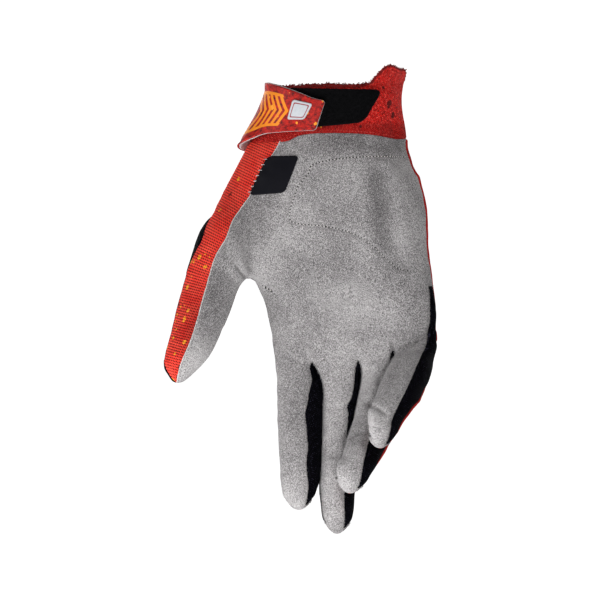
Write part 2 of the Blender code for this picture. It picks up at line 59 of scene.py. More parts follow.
# Hand sizes
CUFF_HEIGHT = 26.0
TAB_HEIGHT = 9.0
WRIST_WIDTH = 70.0
WRIST_DEPTH = 47.0
PALM_LENGTH = 111.0
PALM_WIDTH = 83.0
PALM_DEPTH = 36.5
THUMB_LENGTH = 88.0
THUMB_WIDTH = 25.0
INDEX_LENGTH = 79.0
INDEX_WIDTH = 22.0
MIDDLE_LENGTH = 86.0
MIDDLE_WIDTH = 19.0
RING_LENGTH = 81.0
RING_WIDTH = 21.0
LITTLE_LENGTH = 65.0
LITTLE_WIDTH = 19.0


class Row(NamedTuple):
    """One section of the palm. Lengths are shares of the palm's, from the cuff seam down."""
    down: float
    left_down: float
    right_down: float
    left: float
    right: float
    left_seam: float
    right_seam: float
    front: float
    back: float
    arch: float
    cup: float


PALM_ROWS = {
    "seam": Row(-0.01, 0.04, 0.03, -0.49, 0.47, -0.295, 0.46, 0.62, 0.61, 0.00, 0.00),
    "wrist": Row(0.10, 0.03, 0.00, -0.555, 0.49, -0.345, 0.48, 0.61, 0.56, 0.00, 0.01),
    "base": Row(0.26, 0.02, -0.01, -0.67, 0.56, -0.465, 0.55, 0.59, 0.48, 0.01, 0.07),
    "thenar_high": Row(0.35, 0.01, -0.01, -0.73, 0.58, -0.49, 0.57, 0.58, 0.45, 0.02, 0.12),
    "thenar": Row(0.45, 0.01, -0.01, -0.75, 0.58, -0.48, 0.57, 0.56, 0.44, 0.05, 0.14),
    "thenar_low": Row(0.55, 0.00, -0.01, -0.65, 0.59, -0.48, 0.58, 0.52, 0.44, 0.08, 0.13),
    "web": Row(0.66, -0.01, 0.02, -0.46, 0.625, -0.43, 0.61, 0.48, 0.44, 0.11, 0.10),
    "knuckles": Row(0.82, -0.05, -0.03, -0.39, 0.645, -0.37, 0.62, 0.42, 0.44, 0.16, 0.03),
    "root": Row(1.02, -0.10, -0.08, -0.35, 0.635, -0.33, 0.58, 0.33, 0.33, 0.22, 0.00),
}
THUMB_ROWS = ("base", "thenar_high", "thenar", "thenar_low", "web")
SIDE_PANEL_ROWS = ("web", "knuckles")


class CuffRow(NamedTuple):
    """One section of the cuff. Its place is a share of the cuff's height, up from the seam."""
    up: float
    left_up: float
    left: float
    right: float
    left_seam: float
    right_seam: float
    front: float
    back: float


CUFF_ROWS = (
    CuffRow(1.00, -0.06, -0.40, 0.52, -0.32, 0.49, 0.50, 0.50),
    CuffRow(0.50, -0.02, -0.45, 0.51, -0.36, 0.48, 0.49, 0.49),
)

# Places of the nine front and nine back columns between the two side seams. Two columns
# make a finger's front, and the third one is the crotch that it shares with the next.
COLUMNS = (0.00, 0.11, 0.235, 0.38, 0.55, 0.655, 0.775, 0.885, 1.00)
CROTCH_COLUMNS = (2, 4, 6)
TAB_COLUMNS = (6, 7, 8)
TAB_ROWS = ((0.55, (0.06, 0.05, 0.02, 0.01)), (1.10, (0.13, 0.08, 0.03, 0.01)))

# Roundness of the hand's sections, and how far the back of a crotch lies above its front
SECTION_POWER = 2.4
CROTCH_RISE = 0.05
CROTCH_DROPS = (0.05, 0.0, 0.0)


class Section(NamedTuple):
    """One section of a digit, from its root on. Lengths are shares of the digit's length,
    width and thick are shares of its width, and the rest are angles in degrees."""
    down: float
    across: float
    forward: float
    width: float
    thick: float
    roll: float
    side: float


class Digit(NamedTuple):
    """A digit: its sizes, where its root lies on the palm, its sections and its tip."""
    length: float
    width: float
    root: tuple
    sections: tuple
    tip: tuple
    tilts: tuple = ()


INDEX = Digit(INDEX_LENGTH, INDEX_WIDTH, (-0.22, 0.97, -0.03), (
    Section(0.17, 0.035, 0.03, 0.99, 0.87, -11, 45),
    Section(0.35, 0.04, 0.06, 1.03, 0.93, -27, 43),
    Section(0.55, 0.04, 0.11, 0.98, 0.91, -29, 41),
    Section(0.74, 0.04, 0.16, 0.91, 0.87, -29, 40),
    Section(0.87, 0.035, 0.19, 0.81, 0.77, -29, 32),
    Section(0.94, 0.04, 0.205, 0.62, 0.60, -29, 28),
), (1.005, 0.045, 0.215))

MIDDLE = Digit(MIDDLE_LENGTH, MIDDLE_WIDTH, (0.04, 1.02, -0.01), (
    Section(0.12, 0.03, 0.02, 1.06, 0.97, -4, 45),
    Section(0.30, 0.025, 0.045, 1.01, 0.95, -23, 44),
    Section(0.48, 0.015, 0.08, 0.98, 0.96, -27, 43),
    Section(0.68, 0.005, 0.12, 0.94, 0.92, -27, 41),
    Section(0.84, 0.005, 0.15, 0.89, 0.86, -27, 36),
    Section(0.93, 0.005, 0.165, 0.73, 0.70, -27, 30),
), (0.998, 0.005, 0.175))

RING = Digit(RING_LENGTH, RING_WIDTH, (0.27, 0.97, 0.05), (
    Section(0.14, 0.03, 0.035, 0.86, 0.86, -15, 45),
    Section(0.29, 0.03, 0.10, 0.95, 0.93, -34, 44),
    Section(0.44, 0.00, 0.185, 1.03, 0.95, -45, 43),
    Section(0.59, -0.065, 0.29, 0.96, 0.88, -48, 42),
    Section(0.71, -0.12, 0.36, 0.84, 0.79, -32, 38),
    Section(0.80, -0.15, 0.40, 0.68, 0.66, -22, 30),
), (0.875, -0.165, 0.42))

LITTLE = Digit(LITTLE_LENGTH, LITTLE_WIDTH, (0.48, 0.94, 0.22), (
    Section(0.12, 0.02, 0.09, 1.02, 0.95, -18, 44),
    Section(0.26, -0.02, 0.22, 1.06, 0.97, -34, 44),
    Section(0.40, -0.08, 0.345, 1.02, 0.92, -42, 42),
    Section(0.54, -0.17, 0.44, 0.88, 0.84, -37, 38),
    Section(0.645, -0.22, 0.49, 0.76, 0.74, -22, 34),
    Section(0.72, -0.235, 0.515, 0.60, 0.60, -12, 28),
), (0.79, -0.24, 0.545))

THUMB = Digit(THUMB_LENGTH, THUMB_WIDTH, (-0.48, 0.45, 0.11), (
    Section(0.055, -0.125, 0.025, 1.46, 1.36, 8, 28),
    Section(0.12, -0.175, 0.055, 1.30, 1.24, 19, 18),
    Section(0.21, -0.21, 0.09, 1.12, 1.12, 28, 23),
    Section(0.33, -0.245, 0.125, 1.03, 1.03, 37, 38),
    Section(0.46, -0.29, 0.165, 1.00, 0.94, 43, 44),
    Section(0.615, -0.335, 0.215, 0.92, 0.86, 46, 45),
    Section(0.70, -0.375, 0.245, 0.78, 0.74, 46, 45),
    Section(0.765, -0.405, 0.265, 0.58, 0.55, 46, 43),
), (0.835, -0.415, 0.285), (61, 54, 43, 30, 22, 18, 15, 13))

FINGERS = (INDEX, MIDDLE, RING, LITTLE)

# A cubic surface runs inside its cage, so the cage is larger: at a digit's sections, at an
# edge between two seams, and at a tip that eight or twelve points close
CAGE_GROWTH = 1.10
EDGE_GROWTH = 0.5
TIP_GROWTH = {8: 2.2, 12: 1.8}

PANELS = (
    "palm_suede",
    "back_panel",
    "fourchette_index_middle",
    "fourchette_middle_ring",
    "fourchette_ring_little",
    "little_side_panel",
    "thumb_gusset",
    "thumb_back_panel",
    "cuff",
)
PALM, BACK, FORK_ONE, FORK_TWO, FORK_THREE, SIDE, GUSSET, THUMB_BACK, CUFF = range(len(PANELS))


def hand_section(x, left, right, front, back, face):
    """Depth of a hand section at x: face is -1 on the palm side, 1 on the back, 0 at the edge."""
    middle = (left + right) / 2
    share = (x - middle) / ((right - left) / 2)
    bulge = max(0.0, 1 - abs(share) ** SECTION_POWER) ** (1 / SECTION_POWER)
    depth = back * bulge if face > 0 else -front * bulge
    return share, depth * abs(face)


def palm_point(row, x_share, face):
    x = x_share * PALM_WIDTH
    share, y = hand_section(
        x, row.left * PALM_WIDTH, row.right * PALM_WIDTH,
        row.front * PALM_DEPTH, row.back * PALM_DEPTH, face)
    if face < 0:
        y += row.cup * PALM_DEPTH * max(0.0, 1 - share * share) ** 2
    y -= row.arch * PALM_DEPTH * max(share, 0.0) ** 2
    edge = row.left_down if share < 0 else row.right_down
    z = -CUFF_HEIGHT - PALM_LENGTH * (row.down + edge * share * share)
    return Vector((x, y, z))


def cuff_point(row, x_share, face):
    x = x_share * WRIST_WIDTH
    share, y = hand_section(
        x, row.left * WRIST_WIDTH, row.right * WRIST_WIDTH,
        row.front * WRIST_DEPTH, row.back * WRIST_DEPTH, face)
    edge = row.left_up if share < 0 else 0.0
    z = -CUFF_HEIGHT * (1 - row.up - edge * share * share)
    return Vector((x, y, z))


class Ring:
    """The cage points of one hand section, kept by column."""

    def __init__(self, cage, row, point, has_left=True):
        span = row.right_seam - row.left_seam
        places = [row.left_seam + column * span for column in COLUMNS]
        self.front = [cage.point(point(row, place, -1)) for place in places]
        self.back = [cage.point(point(row, place, 1)) for place in places]
        right = row.right + EDGE_GROWTH * (row.right - row.right_seam)
        left = row.left + EDGE_GROWTH * (row.left - row.left_seam)
        self.right = cage.point(point(row, right, 0))
        self.left = cage.point(point(row, left, 0)) if has_left else None

    def loop(self):
        return self.front + [self.right] + self.back[::-1] + [self.left]


class Cage:
    """The coarse cage of the glove's skin. Each face remembers its panel."""

    def __init__(self):
        self.mesh = bmesh.new()

    def point(self, place):
        return self.mesh.verts.new(place * MM)

    def face(self, points, panel):
        self.mesh.faces.new(points).material_index = panel

    def tube(self, upper, lower, panels):
        """Joins two loops. A panel of None leaves that strip open."""
        count = len(upper)
        for i, panel in enumerate(panels):
            if panel is not None:
                after = (i + 1) % count
                self.face((upper[i], lower[i], lower[after], upper[after]), panel)

    def cap(self, loop, tip, panels):
        for i, panel in enumerate(panels):
            corner = [loop[2 * i], loop[2 * i + 1], loop[(2 * i + 2) % len(loop)]]
            self.face([corner[1], corner[0], tip, corner[2]], panel)


def digit_place(digit, down, across, forward):
    """A place on a digit's middle line, from shares of the digit's length."""
    root_x, root_down, root_forward = digit.root
    return Vector((
        root_x * PALM_WIDTH + across * digit.length,
        -root_forward * PALM_DEPTH - forward * digit.length,
        -CUFF_HEIGHT - root_down * PALM_LENGTH - down * digit.length,
    ))


def section_angles(section, points):
    """Angles of a section's points: 0 faces the palm side and 90 the little finger's side."""
    if points == 8:
        near = 90 - section.side
        far = 90 + section.side
        angles = [-near, 0, near, 90, far, 180, -far, -90]
    else:
        seam = -45
        back = seam - 2 * section.side
        behind = 135
        step = (back + 360 - behind) / 4
        angles = [seam, -22.5, 0, 22.5, 45, 90]
        angles += [behind + step * i for i in range(5)]
        angles.append(seam - section.side)
    return [math.radians(angle + section.roll) for angle in angles]


def add_digit(cage, digit, root_loop, side_panels, cap_panels):
    """Grows a digit from its root loop, section by section, and closes its tip."""
    places = [digit_place(digit, 0, 0, 0)]
    places += [digit_place(digit, s.down, s.across, s.forward) for s in digit.sections]
    tip = digit_place(digit, *digit.tip)
    places.append(tip)
    loop = root_loop
    for i, section in enumerate(digit.sections, start=1):
        axis = (places[i + 1] - places[i - 1]).normalized()
        if digit.tilts:
            tilt = math.radians(digit.tilts[i - 1])
            across = Vector((math.cos(tilt), 0, -math.sin(tilt)))
        else:
            across = Vector((-axis.z, 0, axis.x)).normalized()
        palmward = across.cross(axis).normalized()
        if palmward.y > 0:
            palmward.negate()
        half_width = section.width * digit.width / 2 * CAGE_GROWTH
        half_thick = section.thick * digit.width / 2 * CAGE_GROWTH
        ring = []
        for angle in section_angles(section, len(root_loop)):
            side = across * half_width * math.sin(angle)
            ring.append(cage.point(places[i] + side + palmward * half_thick * math.cos(angle)))
        cage.tube(loop, ring, side_panels)
        loop = ring
    end = places[-2] + (tip - places[-2]) * TIP_GROWTH[len(root_loop)]
    cage.cap(loop, cage.point(end), cap_panels)


def build_cage():
    cage = Cage()
    rings = {}
    for name, row in PALM_ROWS.items():
        in_thumb = name in THUMB_ROWS[1:-1]
        rings[name] = Ring(cage, row, palm_point, has_left=not in_thumb)

    # Cuff, from its hem down to the seam
    cuff_loops = [Ring(cage, row, cuff_point) for row in CUFF_ROWS] + [rings["seam"]]
    for upper, lower in zip(cuff_loops, cuff_loops[1:]):
        cage.tube(upper.loop(), lower.loop(), [CUFF] * 20)

    # Pull tab, which rises from the hem on the little finger's side
    hem = [cuff_loops[0].front[column] for column in TAB_COLUMNS] + [cuff_loops[0].right]
    lower = hem
    for height, leans in TAB_ROWS:
        upper = []
        for corner, lean in zip(hem, leans):
            move = Vector((lean * WRIST_WIDTH, 0, height * TAB_HEIGHT))
            upper.append(cage.point(corner.co / MM + move))
        for i in range(len(hem) - 1):
            cage.face((upper[i], lower[i], lower[i + 1], upper[i + 1]), CUFF)
        lower = upper

    # Palm and back of the hand, open where the thumb leaves
    names = list(PALM_ROWS)
    for upper_name, lower_name in zip(names, names[1:]):
        side = SIDE if upper_name in SIDE_PANEL_ROWS else PALM
        if upper_name in THUMB_ROWS[:-1]:
            left = [None, None]
        elif upper_name in ("seam", "wrist"):
            left = [GUSSET, GUSSET]
        else:
            left = [BACK, PALM]
        panels = [PALM] * 8 + [side] + [BACK] * 9 + left
        cage.tube(rings[upper_name].loop(), rings[lower_name].loop(), panels)

    # Thumb, from the opening on the thumb's side
    front = [rings[name].front[0] for name in THUMB_ROWS]
    back = [rings[name].back[0] for name in THUMB_ROWS]
    root = front + [rings["web"].left] + back[::-1] + [rings["base"].left]
    panels = [PALM] * 5 + [THUMB_BACK] * 5 + [GUSSET] * 2
    caps = [PALM] * 3 + [THUMB_BACK] * 2 + [GUSSET]
    add_digit(cage, THUMB, root, panels, caps)

    # Fingers, with a crotch point between each two
    ring = rings["root"]
    crotches = []
    for column, drop in zip(CROTCH_COLUMNS, CROTCH_DROPS):
        ring.front[column].co.z -= drop * PALM_LENGTH * MM
        middle = (ring.front[column].co + ring.back[column].co) / (2 * MM)
        rise = Vector((0, 0, CROTCH_RISE * PALM_LENGTH))
        ring.back[column].co += 2 * rise * MM
        crotches.append(cage.point(middle + rise))
    sides = [ring.left] + crotches + [ring.right]
    right_panels = [FORK_ONE, FORK_TWO, FORK_THREE, SIDE]
    left_panels = [(BACK, PALM), (FORK_ONE, FORK_ONE), (FORK_TWO, FORK_TWO), (FORK_THREE, FORK_THREE)]
    for number, digit in enumerate(FINGERS):
        first = 2 * number
        root = ring.front[first:first + 3] + [sides[number + 1]]
        root += ring.back[first:first + 3][::-1] + [sides[number]]
        panels = [PALM] * 2 + [right_panels[number]] * 2 + [BACK] * 2 + list(left_panels[number])
        add_digit(cage, digit, root, panels, [PALM, PALM, BACK, PALM])
    return cage.mesh


def shaped_skin(cage, levels):
    """Places, normals, four-cornered faces and panel numbers of the smooth skin."""
    coarse = bpy.data.meshes.new("glove_form")
    cage.to_mesh(coarse)
    for _ in PANELS:
        coarse.materials.append(None)
    form = bpy.data.objects.new("glove_form", coarse)
    bpy.context.scene.collection.objects.link(form)
    smooth = form.modifiers.new("smooth", "SUBSURF")
    smooth.levels = levels
    smooth.render_levels = levels
    graph = bpy.context.evaluated_depsgraph_get()
    mesh = bpy.data.meshes.new_from_object(form.evaluated_get(graph))
    bpy.data.objects.remove(form, do_unlink=True)
    places = np.empty((len(mesh.vertices), 3), np.float32)
    mesh.vertices.foreach_get("co", places.ravel())
    normals = np.empty_like(places)
    mesh.vertex_normals.foreach_get("vector", normals.ravel())
    faces = np.empty(len(mesh.loops), np.int32)
    mesh.loops.foreach_get("vertex_index", faces)
    panels = np.empty(len(mesh.polygons), np.int32)
    mesh.polygons.foreach_get("material_index", panels)
    bpy.data.meshes.remove(mesh)
    return places, normals.astype(float), faces.reshape(-1, 4), panels


cage = build_cage()
fine_places, skin_normals, skin_faces, skin_panels = shaped_skin(cage, SKIN_LEVELS)
coarse_places, _, lining_faces, lining_panels = shaped_skin(cage, LINING_LEVELS)
cage.free()


def place_keys(places):
    """A key for each place, rounded to a thousandth of a millimetre and with no minus zero."""
    return [place.tobytes() for place in np.round(places, 6) + 0.0]


# The lining is coarser than the outside, and its corners are some of the outside's own
number_at = {key: i for i, key in enumerate(place_keys(fine_places))}
same = [number_at[key] for key in place_keys(coarse_places)]
lining_faces = np.array(same, np.int32)[lining_faces]
skin_places = fine_places.astype(float)

# Rays towards a surface start this far from the glove's middle
FAR = 200.0


class Surface:
    """A surface that cloth is laid on. Above its top, cloth keeps the form that it has there."""

    def __init__(self, places, faces, top=0.0):
        self.tree = BVHTree.FromPolygons(places.tolist(), faces.tolist())
        self.top = top

    def in_front(self, x, z, lift):
        """The place on the palm side at x and z, lifted by some millimetres, and its normal."""
        start = Vector((x, -FAR, z)) * MM
        place, normal, _, _ = self.tree.ray_cast(start, Vector((0, 1, 0)))
        return place + normal * lift * MM, normal

    def around(self, angle, z, lift):
        """The place round the wrist at an angle: 0 on the palm side, 90 on the thumb's side."""
        turn = math.radians(angle)
        outward = Vector((-math.sin(turn), -math.cos(turn), 0))
        level = Vector((0, 0, min(z, self.top) * MM))
        place, _, _, _ = self.tree.ray_cast(level + outward * FAR * MM, -outward)
        return Vector((place.x, place.y, z * MM)) + outward * lift * MM, outward


class Pull(NamedTuple):
    """Where seams are drawn sideways, as seen from the palm side: a place, a move and its reach."""
    place: tuple
    move: tuple
    reach: float


PULLS = (
    Pull((-54, -73), (3.8, -1.2), 9.0), Pull((-47, -63), (2.0, -0.6), 7.0),
    Pull((-62, -72), (-2.0, 0.0), 5.0), Pull((-25, -27), (0.8, -2.0), 6.5),
    Pull((-10.5, -148), (1.3, 0.0), 4.0), Pull((-12, -165), (-1.2, 0.0), 5.0),
    Pull((-11, -181), (0.6, 0.0), 4.0), Pull((-11, -199), (0.9, 0.0), 4.0),
    Pull((10.5, -161), (-1.8, 0.0), 3.0), Pull((14, -160), (1.0, 0.0), 3.0),
    Pull((-12.5, -206), (0.5, -4.5), 5.0), Pull((7.3, -218), (0.5, -4.0), 4.5),
    Pull((14.8, -198), (0.0, -4.0), 4.5), Pull((29, -177), (-0.5, -3.5), 4.0),
)

# Corners that would move less than this stay where they are
LEAST_MOVE = 0.02

# Sides that cloth can face
PALMWARD = (0, -1, 0)
THUMBWARD = (-1, 0, 0)
OUTWARD = (1, 0, 0)


def facing(side, firmness):
    """One on skin that faces a side, and less where it turns away."""
    return np.clip(firmness * skin_normals @ np.array(side), 0, 1)


def fading(away, reach):
    """One at no distance, and about a third of that at the reach."""
    return np.exp(-(away / reach) ** 2)


# Corners slide over the skin, in full where it faces the palm side
flat_skin = BVHTree.FromPolygons(skin_places.tolist(), skin_faces.tolist())
moves = np.zeros_like(skin_places)
for pull in PULLS:
    away = np.linalg.norm(skin_places[:, (0, 2)] / MM - pull.place, axis=1)
    weight = facing(PALMWARD, 4) * fading(away, pull.reach)
    moves[:, 0] += weight * pull.move[0]
    moves[:, 2] += weight * pull.move[1]
moves -= (moves * skin_normals).sum(axis=1)[:, None] * skin_normals
for corner in np.nonzero(np.abs(moves).max(axis=1) > LEAST_MOVE)[0]:
    skin_places[corner] = flat_skin.find_nearest(skin_places[corner] + moves[corner] * MM)[0]


def seam_places(faces, panels):
    """The corners that faces of more than one panel share."""
    lowest = np.full(faces.max() + 1, len(PANELS))
    highest = np.full(faces.max() + 1, -1)
    for corner in range(4):
        np.minimum.at(lowest, faces[:, corner], panels)
        np.maximum.at(highest, faces[:, corner], panels)
    return np.nonzero(lowest != highest)[0]


def point_tree(points):
    """A tree that finds the nearest of some points."""
    tree = KDTree(len(points))
    for i, point in enumerate(points):
        tree.insert(point, i)
    tree.balance()
    return tree


def roughness(size, seed):
    """Smooth noise over the skin, with bumps of about a size in millimetres."""
    scaled = skin_places / (size * MM) + seed
    return np.array([noise.noise(place) for place in scaled])


# Lines of stitches that hold the heel of the hand's second layer and the fold at the thumb's web
HEEL_SEAM = (
    (37.5, -36.5), (20, -36.5), (3.5, -37.8), (-8.5, -40.5), (-11, -45), (-16, -51.5), (-17.5, -56),
    (-19.5, -61.5), (-20, -68), (-16, -70), (-5, -71), (3.5, -72.5), (13, -75.5), (20, -80),
    (26.5, -86), (31.5, -90.5), (36, -93), (48, -94))
WEB_SEAM = ((-34.5, -100.5), (-30.5, -102.5), (-29, -105), (-29, -107.5), (-29.5, -109))

# Share of a fold's length over which each of its ends fades, and the mark of one on any panel
FOLD_END = 0.25
ALL_PANELS = -1


class Fold(NamedTuple):
    """A crease or a puff, as a hand pulls the cloth: its points across and down from the hem's
    middle, how far it lifts, its half width, its side, and the panel that it is kept to."""
    points: tuple
    lift: float
    width: float
    side: tuple = PALMWARD
    panel: int = ALL_PANELS


FOLDS = (
    Fold(HEEL_SEAM, -0.45, 1.1),
    Fold(((-40, -27), (-10, -26), (20, -26), (60, -27)), -4.5, 15.0),
    Fold(((-47, -90), (-44.5, -94), (-41, -98.5)), -1.3, 0.9),
    Fold(((-44, -89), (-41.5, -94), (-39, -98)), 0.5, 1.3),
    Fold(((-57, -91), (-51, -95), (-46, -101)), -0.9, 2.6),
    Fold(((-36, -98), (-37.5, -94), (-41, -91)), -0.5, 1.0),
    Fold(((52, -119), (47, -127), (40, -131.5), (32, -133)), -1.4, 1.5),
    Fold(((53, -113), (46, -121), (38, -126)), 0.5, 2.5),
    Fold(((25, -40), (27, -60), (31, -78), (37, -94)), -2.2, 5.5),
    Fold(((-38, -60), (-30, -72), (-20, -82), (-8, -88)), -0.8, 4.5),
    Fold(((-22, -106), (-5, -110), (15, -112)), 0.8, 9.0),
    Fold(((-21, -137), (-12, -139)), -0.5, 1.5),
    Fold(((-21, -157), (-13, -158)), -0.5, 1.5),
    Fold(((-23, -183), (-14, -185)), -0.5, 1.5),
    Fold(((-1, -141), (9, -140)), -0.5, 1.5),
    Fold(((-2, -163), (7, -161)), -0.6, 1.5),
    Fold(((20, -139), (29, -136)), -0.6, 1.6),
    Fold(((17, -160), (26, -155)), -0.9, 1.8),
    Fold(((8, -176), (17, -172)), -0.7, 1.6),
    Fold(((37, -146), (45, -140)), -0.9, 1.8),
    Fold(((19, -161), (24, -162), (29.5, -165)), -0.8, 1.3),
    Fold(((31, -129), (31.5, -133), (31, -138)), -2.0, 0.9),
    Fold(((22, -162), (19.5, -168), (20, -176)), 1.2, 4.0, THUMBWARD, PALM),
    Fold(((31, -160), (30, -170)), -1.6, 4.0, OUTWARD, PALM),
    Fold(((4, -186), (3.5, -192), (4, -198)), 2.0, 4.0, THUMBWARD, PALM),
    Fold(((-37, -99), (-32, -108), (-30, -125)), 1.0, 3.0, THUMBWARD, PALM),
    Fold(((42, -158), (38, -174)), -1.0, 6.0, OUTWARD),
    Fold(((-44, -95), (-36, -104), (-33, -109), (-30, -128)), -1.4, 3.5, THUMBWARD),
    Fold(((-43, -92), (-46, -99), (-49, -108), (-54, -122)), 1.0, 4.0, OUTWARD),
    Fold(((-72, -94), (-77, -115), (-83, -138)), -1.5, 5.0, THUMBWARD),
    Fold(((-66, -80), (-70, -90), (-77, -115), (-86, -146)), 1.1, 5.0, THUMBWARD, GUSSET),
    Fold(((-68, -116), (-58, -113)), -0.5, 1.6),
    Fold(((52.5, -123), (52, -138), (47.5, -151)), 1.2, 8.0, OUTWARD),
    Fold(((39, -27), (40, -36), (43, -46)), -1.4, 6.0, OUTWARD),
    Fold(((-5, -136), (-4.5, -150), (-4, -180), (-4, -206)), 1.0, 5.0, OUTWARD),
    Fold(((-5, -136), (-4.5, -150), (-4, -180), (-4, -206)), 1.0, 5.0, THUMBWARD),
    Fold(((14, -137), (16, -148), (13, -165)), 0.8, 4.0, OUTWARD),
    Fold(((14, -137), (16, -148), (13, -165)), 0.8, 4.0, THUMBWARD),
    Fold(((31, -134), (27, -146), (23, -157), (20, -170)), 2.4, 4.0, THUMBWARD, PALM),
)


def between(values, low, high):
    """Zero up to low, one past high and even between them. High may be the smaller one."""
    return np.clip((values - low) / (high - low), 0, 1)


def fold_lift(fold):
    """How far a fold lifts each corner of the skin along its normal, in millimetres."""
    flat = skin_places[:, (0, 2)] / MM
    height = np.zeros(len(skin_places))
    steps = list(zip(fold.points, fold.points[1:]))
    for number, (start, end) in enumerate(steps):
        start = np.array(start, float)
        along = np.array(end, float) - start
        share = np.clip((flat - start) @ along / (along @ along), 0, 1)
        away = np.linalg.norm(flat - start - share[:, None] * along, axis=1)
        so_far = (number + share) / len(steps)
        ends = between(so_far, 0, FOLD_END) * between(so_far, 1, 1 - FOLD_END)
        height = np.maximum(height, np.sqrt(ends) * fading(away, fold.width))
    return fold.lift * height * facing(fold.side, 2)


def on_panel(panel):
    """One for each corner of a panel, zero for the others."""
    share = np.zeros(len(skin_places))
    share[np.unique(skin_faces[skin_panels == panel])] = 1.0
    return share


# Each seam lies in a dip with puckers beside it, and the cloth between sags and ripples
SEAM_DIP = 0.35
SEAM_REACH = 1.6
PUCKER = 0.5
PUCKER_SIZE = 5.5
PUCKER_REACH = 6.0
SAG = 0.35
SAG_SIZE = 16.0
RIPPLE = 0.12
RIPPLE_SIZE = 4.5

# The back panel stands out as a welt along the little finger's mesh, but for a gap. The welt
# begins at one place across and is full at the next
WELT = 1.3
WELT_REACH = 3.5
WELT_EDGE = 0.7
WELT_ACROSS = (22.0, 30.0)
WELT_GAP = -116.0
WELT_GAP_REACH = 20.0

seams = skin_places[seam_places(skin_faces, skin_panels)]
seam_tree = point_tree(seams)
from_seam = np.array([seam_tree.find(place)[2] for place in skin_places]) / MM
near_seam = fading(from_seam, SEAM_REACH)
beside_seam = fading(from_seam, PUCKER_REACH) * (1 - near_seam)
lift = -SEAM_DIP * near_seam
welted = on_panel(BACK) * facing(OUTWARD, 3) * between(skin_places[:, 0] / MM, *WELT_ACROSS)
welted *= 1 - fading(skin_places[:, 2] / MM - WELT_GAP, WELT_GAP_REACH)
lift += WELT * welted * fading(from_seam, WELT_REACH) * (1 - fading(from_seam, WELT_EDGE))
lift += PUCKER * beside_seam * roughness(PUCKER_SIZE, seed=3.0)
lift += SAG * roughness(SAG_SIZE, seed=11.0) + RIPPLE * roughness(RIPPLE_SIZE, seed=29.0)
for fold in FOLDS:
    raised = fold_lift(fold)
    lift += raised if fold.panel == ALL_PANELS else raised * on_panel(fold.panel)
skin_places += skin_normals * lift[:, None] * MM

# The hem is uneven, and less so on its tab, which begins at one height and is full at the next
HEM_REACH = 5.0
HEM_WAVE = 0.7
HEM_WAVE_SIZE = 5.0
HEM_NICKS = 0.5
HEM_NICK_SIZE = 1.6
TAB_HEIGHTS = (3.0, 8.0)
TAB_CALM = 0.8

near_hem = np.clip(1 + skin_places[:, 2] / MM / HEM_REACH, 0, 1)
on_tab = between(skin_places[:, 2] / MM, *TAB_HEIGHTS)
ragged = (HEM_WAVE * roughness(HEM_WAVE_SIZE, seed=17.0)
          + HEM_NICKS * roughness(HEM_NICK_SIZE, seed=41.0))
skin_places[:, 2] += near_hem * ragged * (1 - TAB_CALM * on_tab) * MM

# The hem hangs lower on the palm side, and its tab leans towards the thumb, with a lower corner.
# An edge of the tab has no effect at its first place across and its full one at the second
HEM_DROP = 1.7
HEM_DROP_DEPTH = 6.0
TAB_LEAN = 2.3
TAB_NEAR_EDGE = (12.0, 18.0)
TAB_FAR_EDGE = (45.0, 33.0)
LEAST_LEAN = 0.4
TAB_CORNER = 2.0
TAB_CORNER_EDGE = (34.0, 38.0)

across_tab = skin_places[:, 0] / MM
palmward = near_hem * np.clip(-skin_places[:, 1] / (HEM_DROP_DEPTH * MM), 0, 1)
leaning = between(across_tab, *TAB_NEAR_EDGE)
leaning *= np.maximum(between(across_tab, *TAB_FAR_EDGE), LEAST_LEAN)
skin_places[:, 0] -= TAB_LEAN * palmward * leaning * MM
corner_drop = TAB_CORNER * on_tab * between(across_tab, *TAB_CORNER_EDGE)
skin_places[:, 2] -= (HEM_DROP * palmward + corner_drop) * MM


def rim_steps(faces):
    """The next corner after each corner on the open edges of some faces."""
    starts = faces.ravel().astype(np.int64)
    ends = np.roll(faces, -1, axis=1).ravel().astype(np.int64)
    count = starts.max() + 1
    alone = ~np.isin(starts * count + ends, ends * count + starts)
    return dict(zip(starts[alone].tolist(), ends[alone].tolist()))


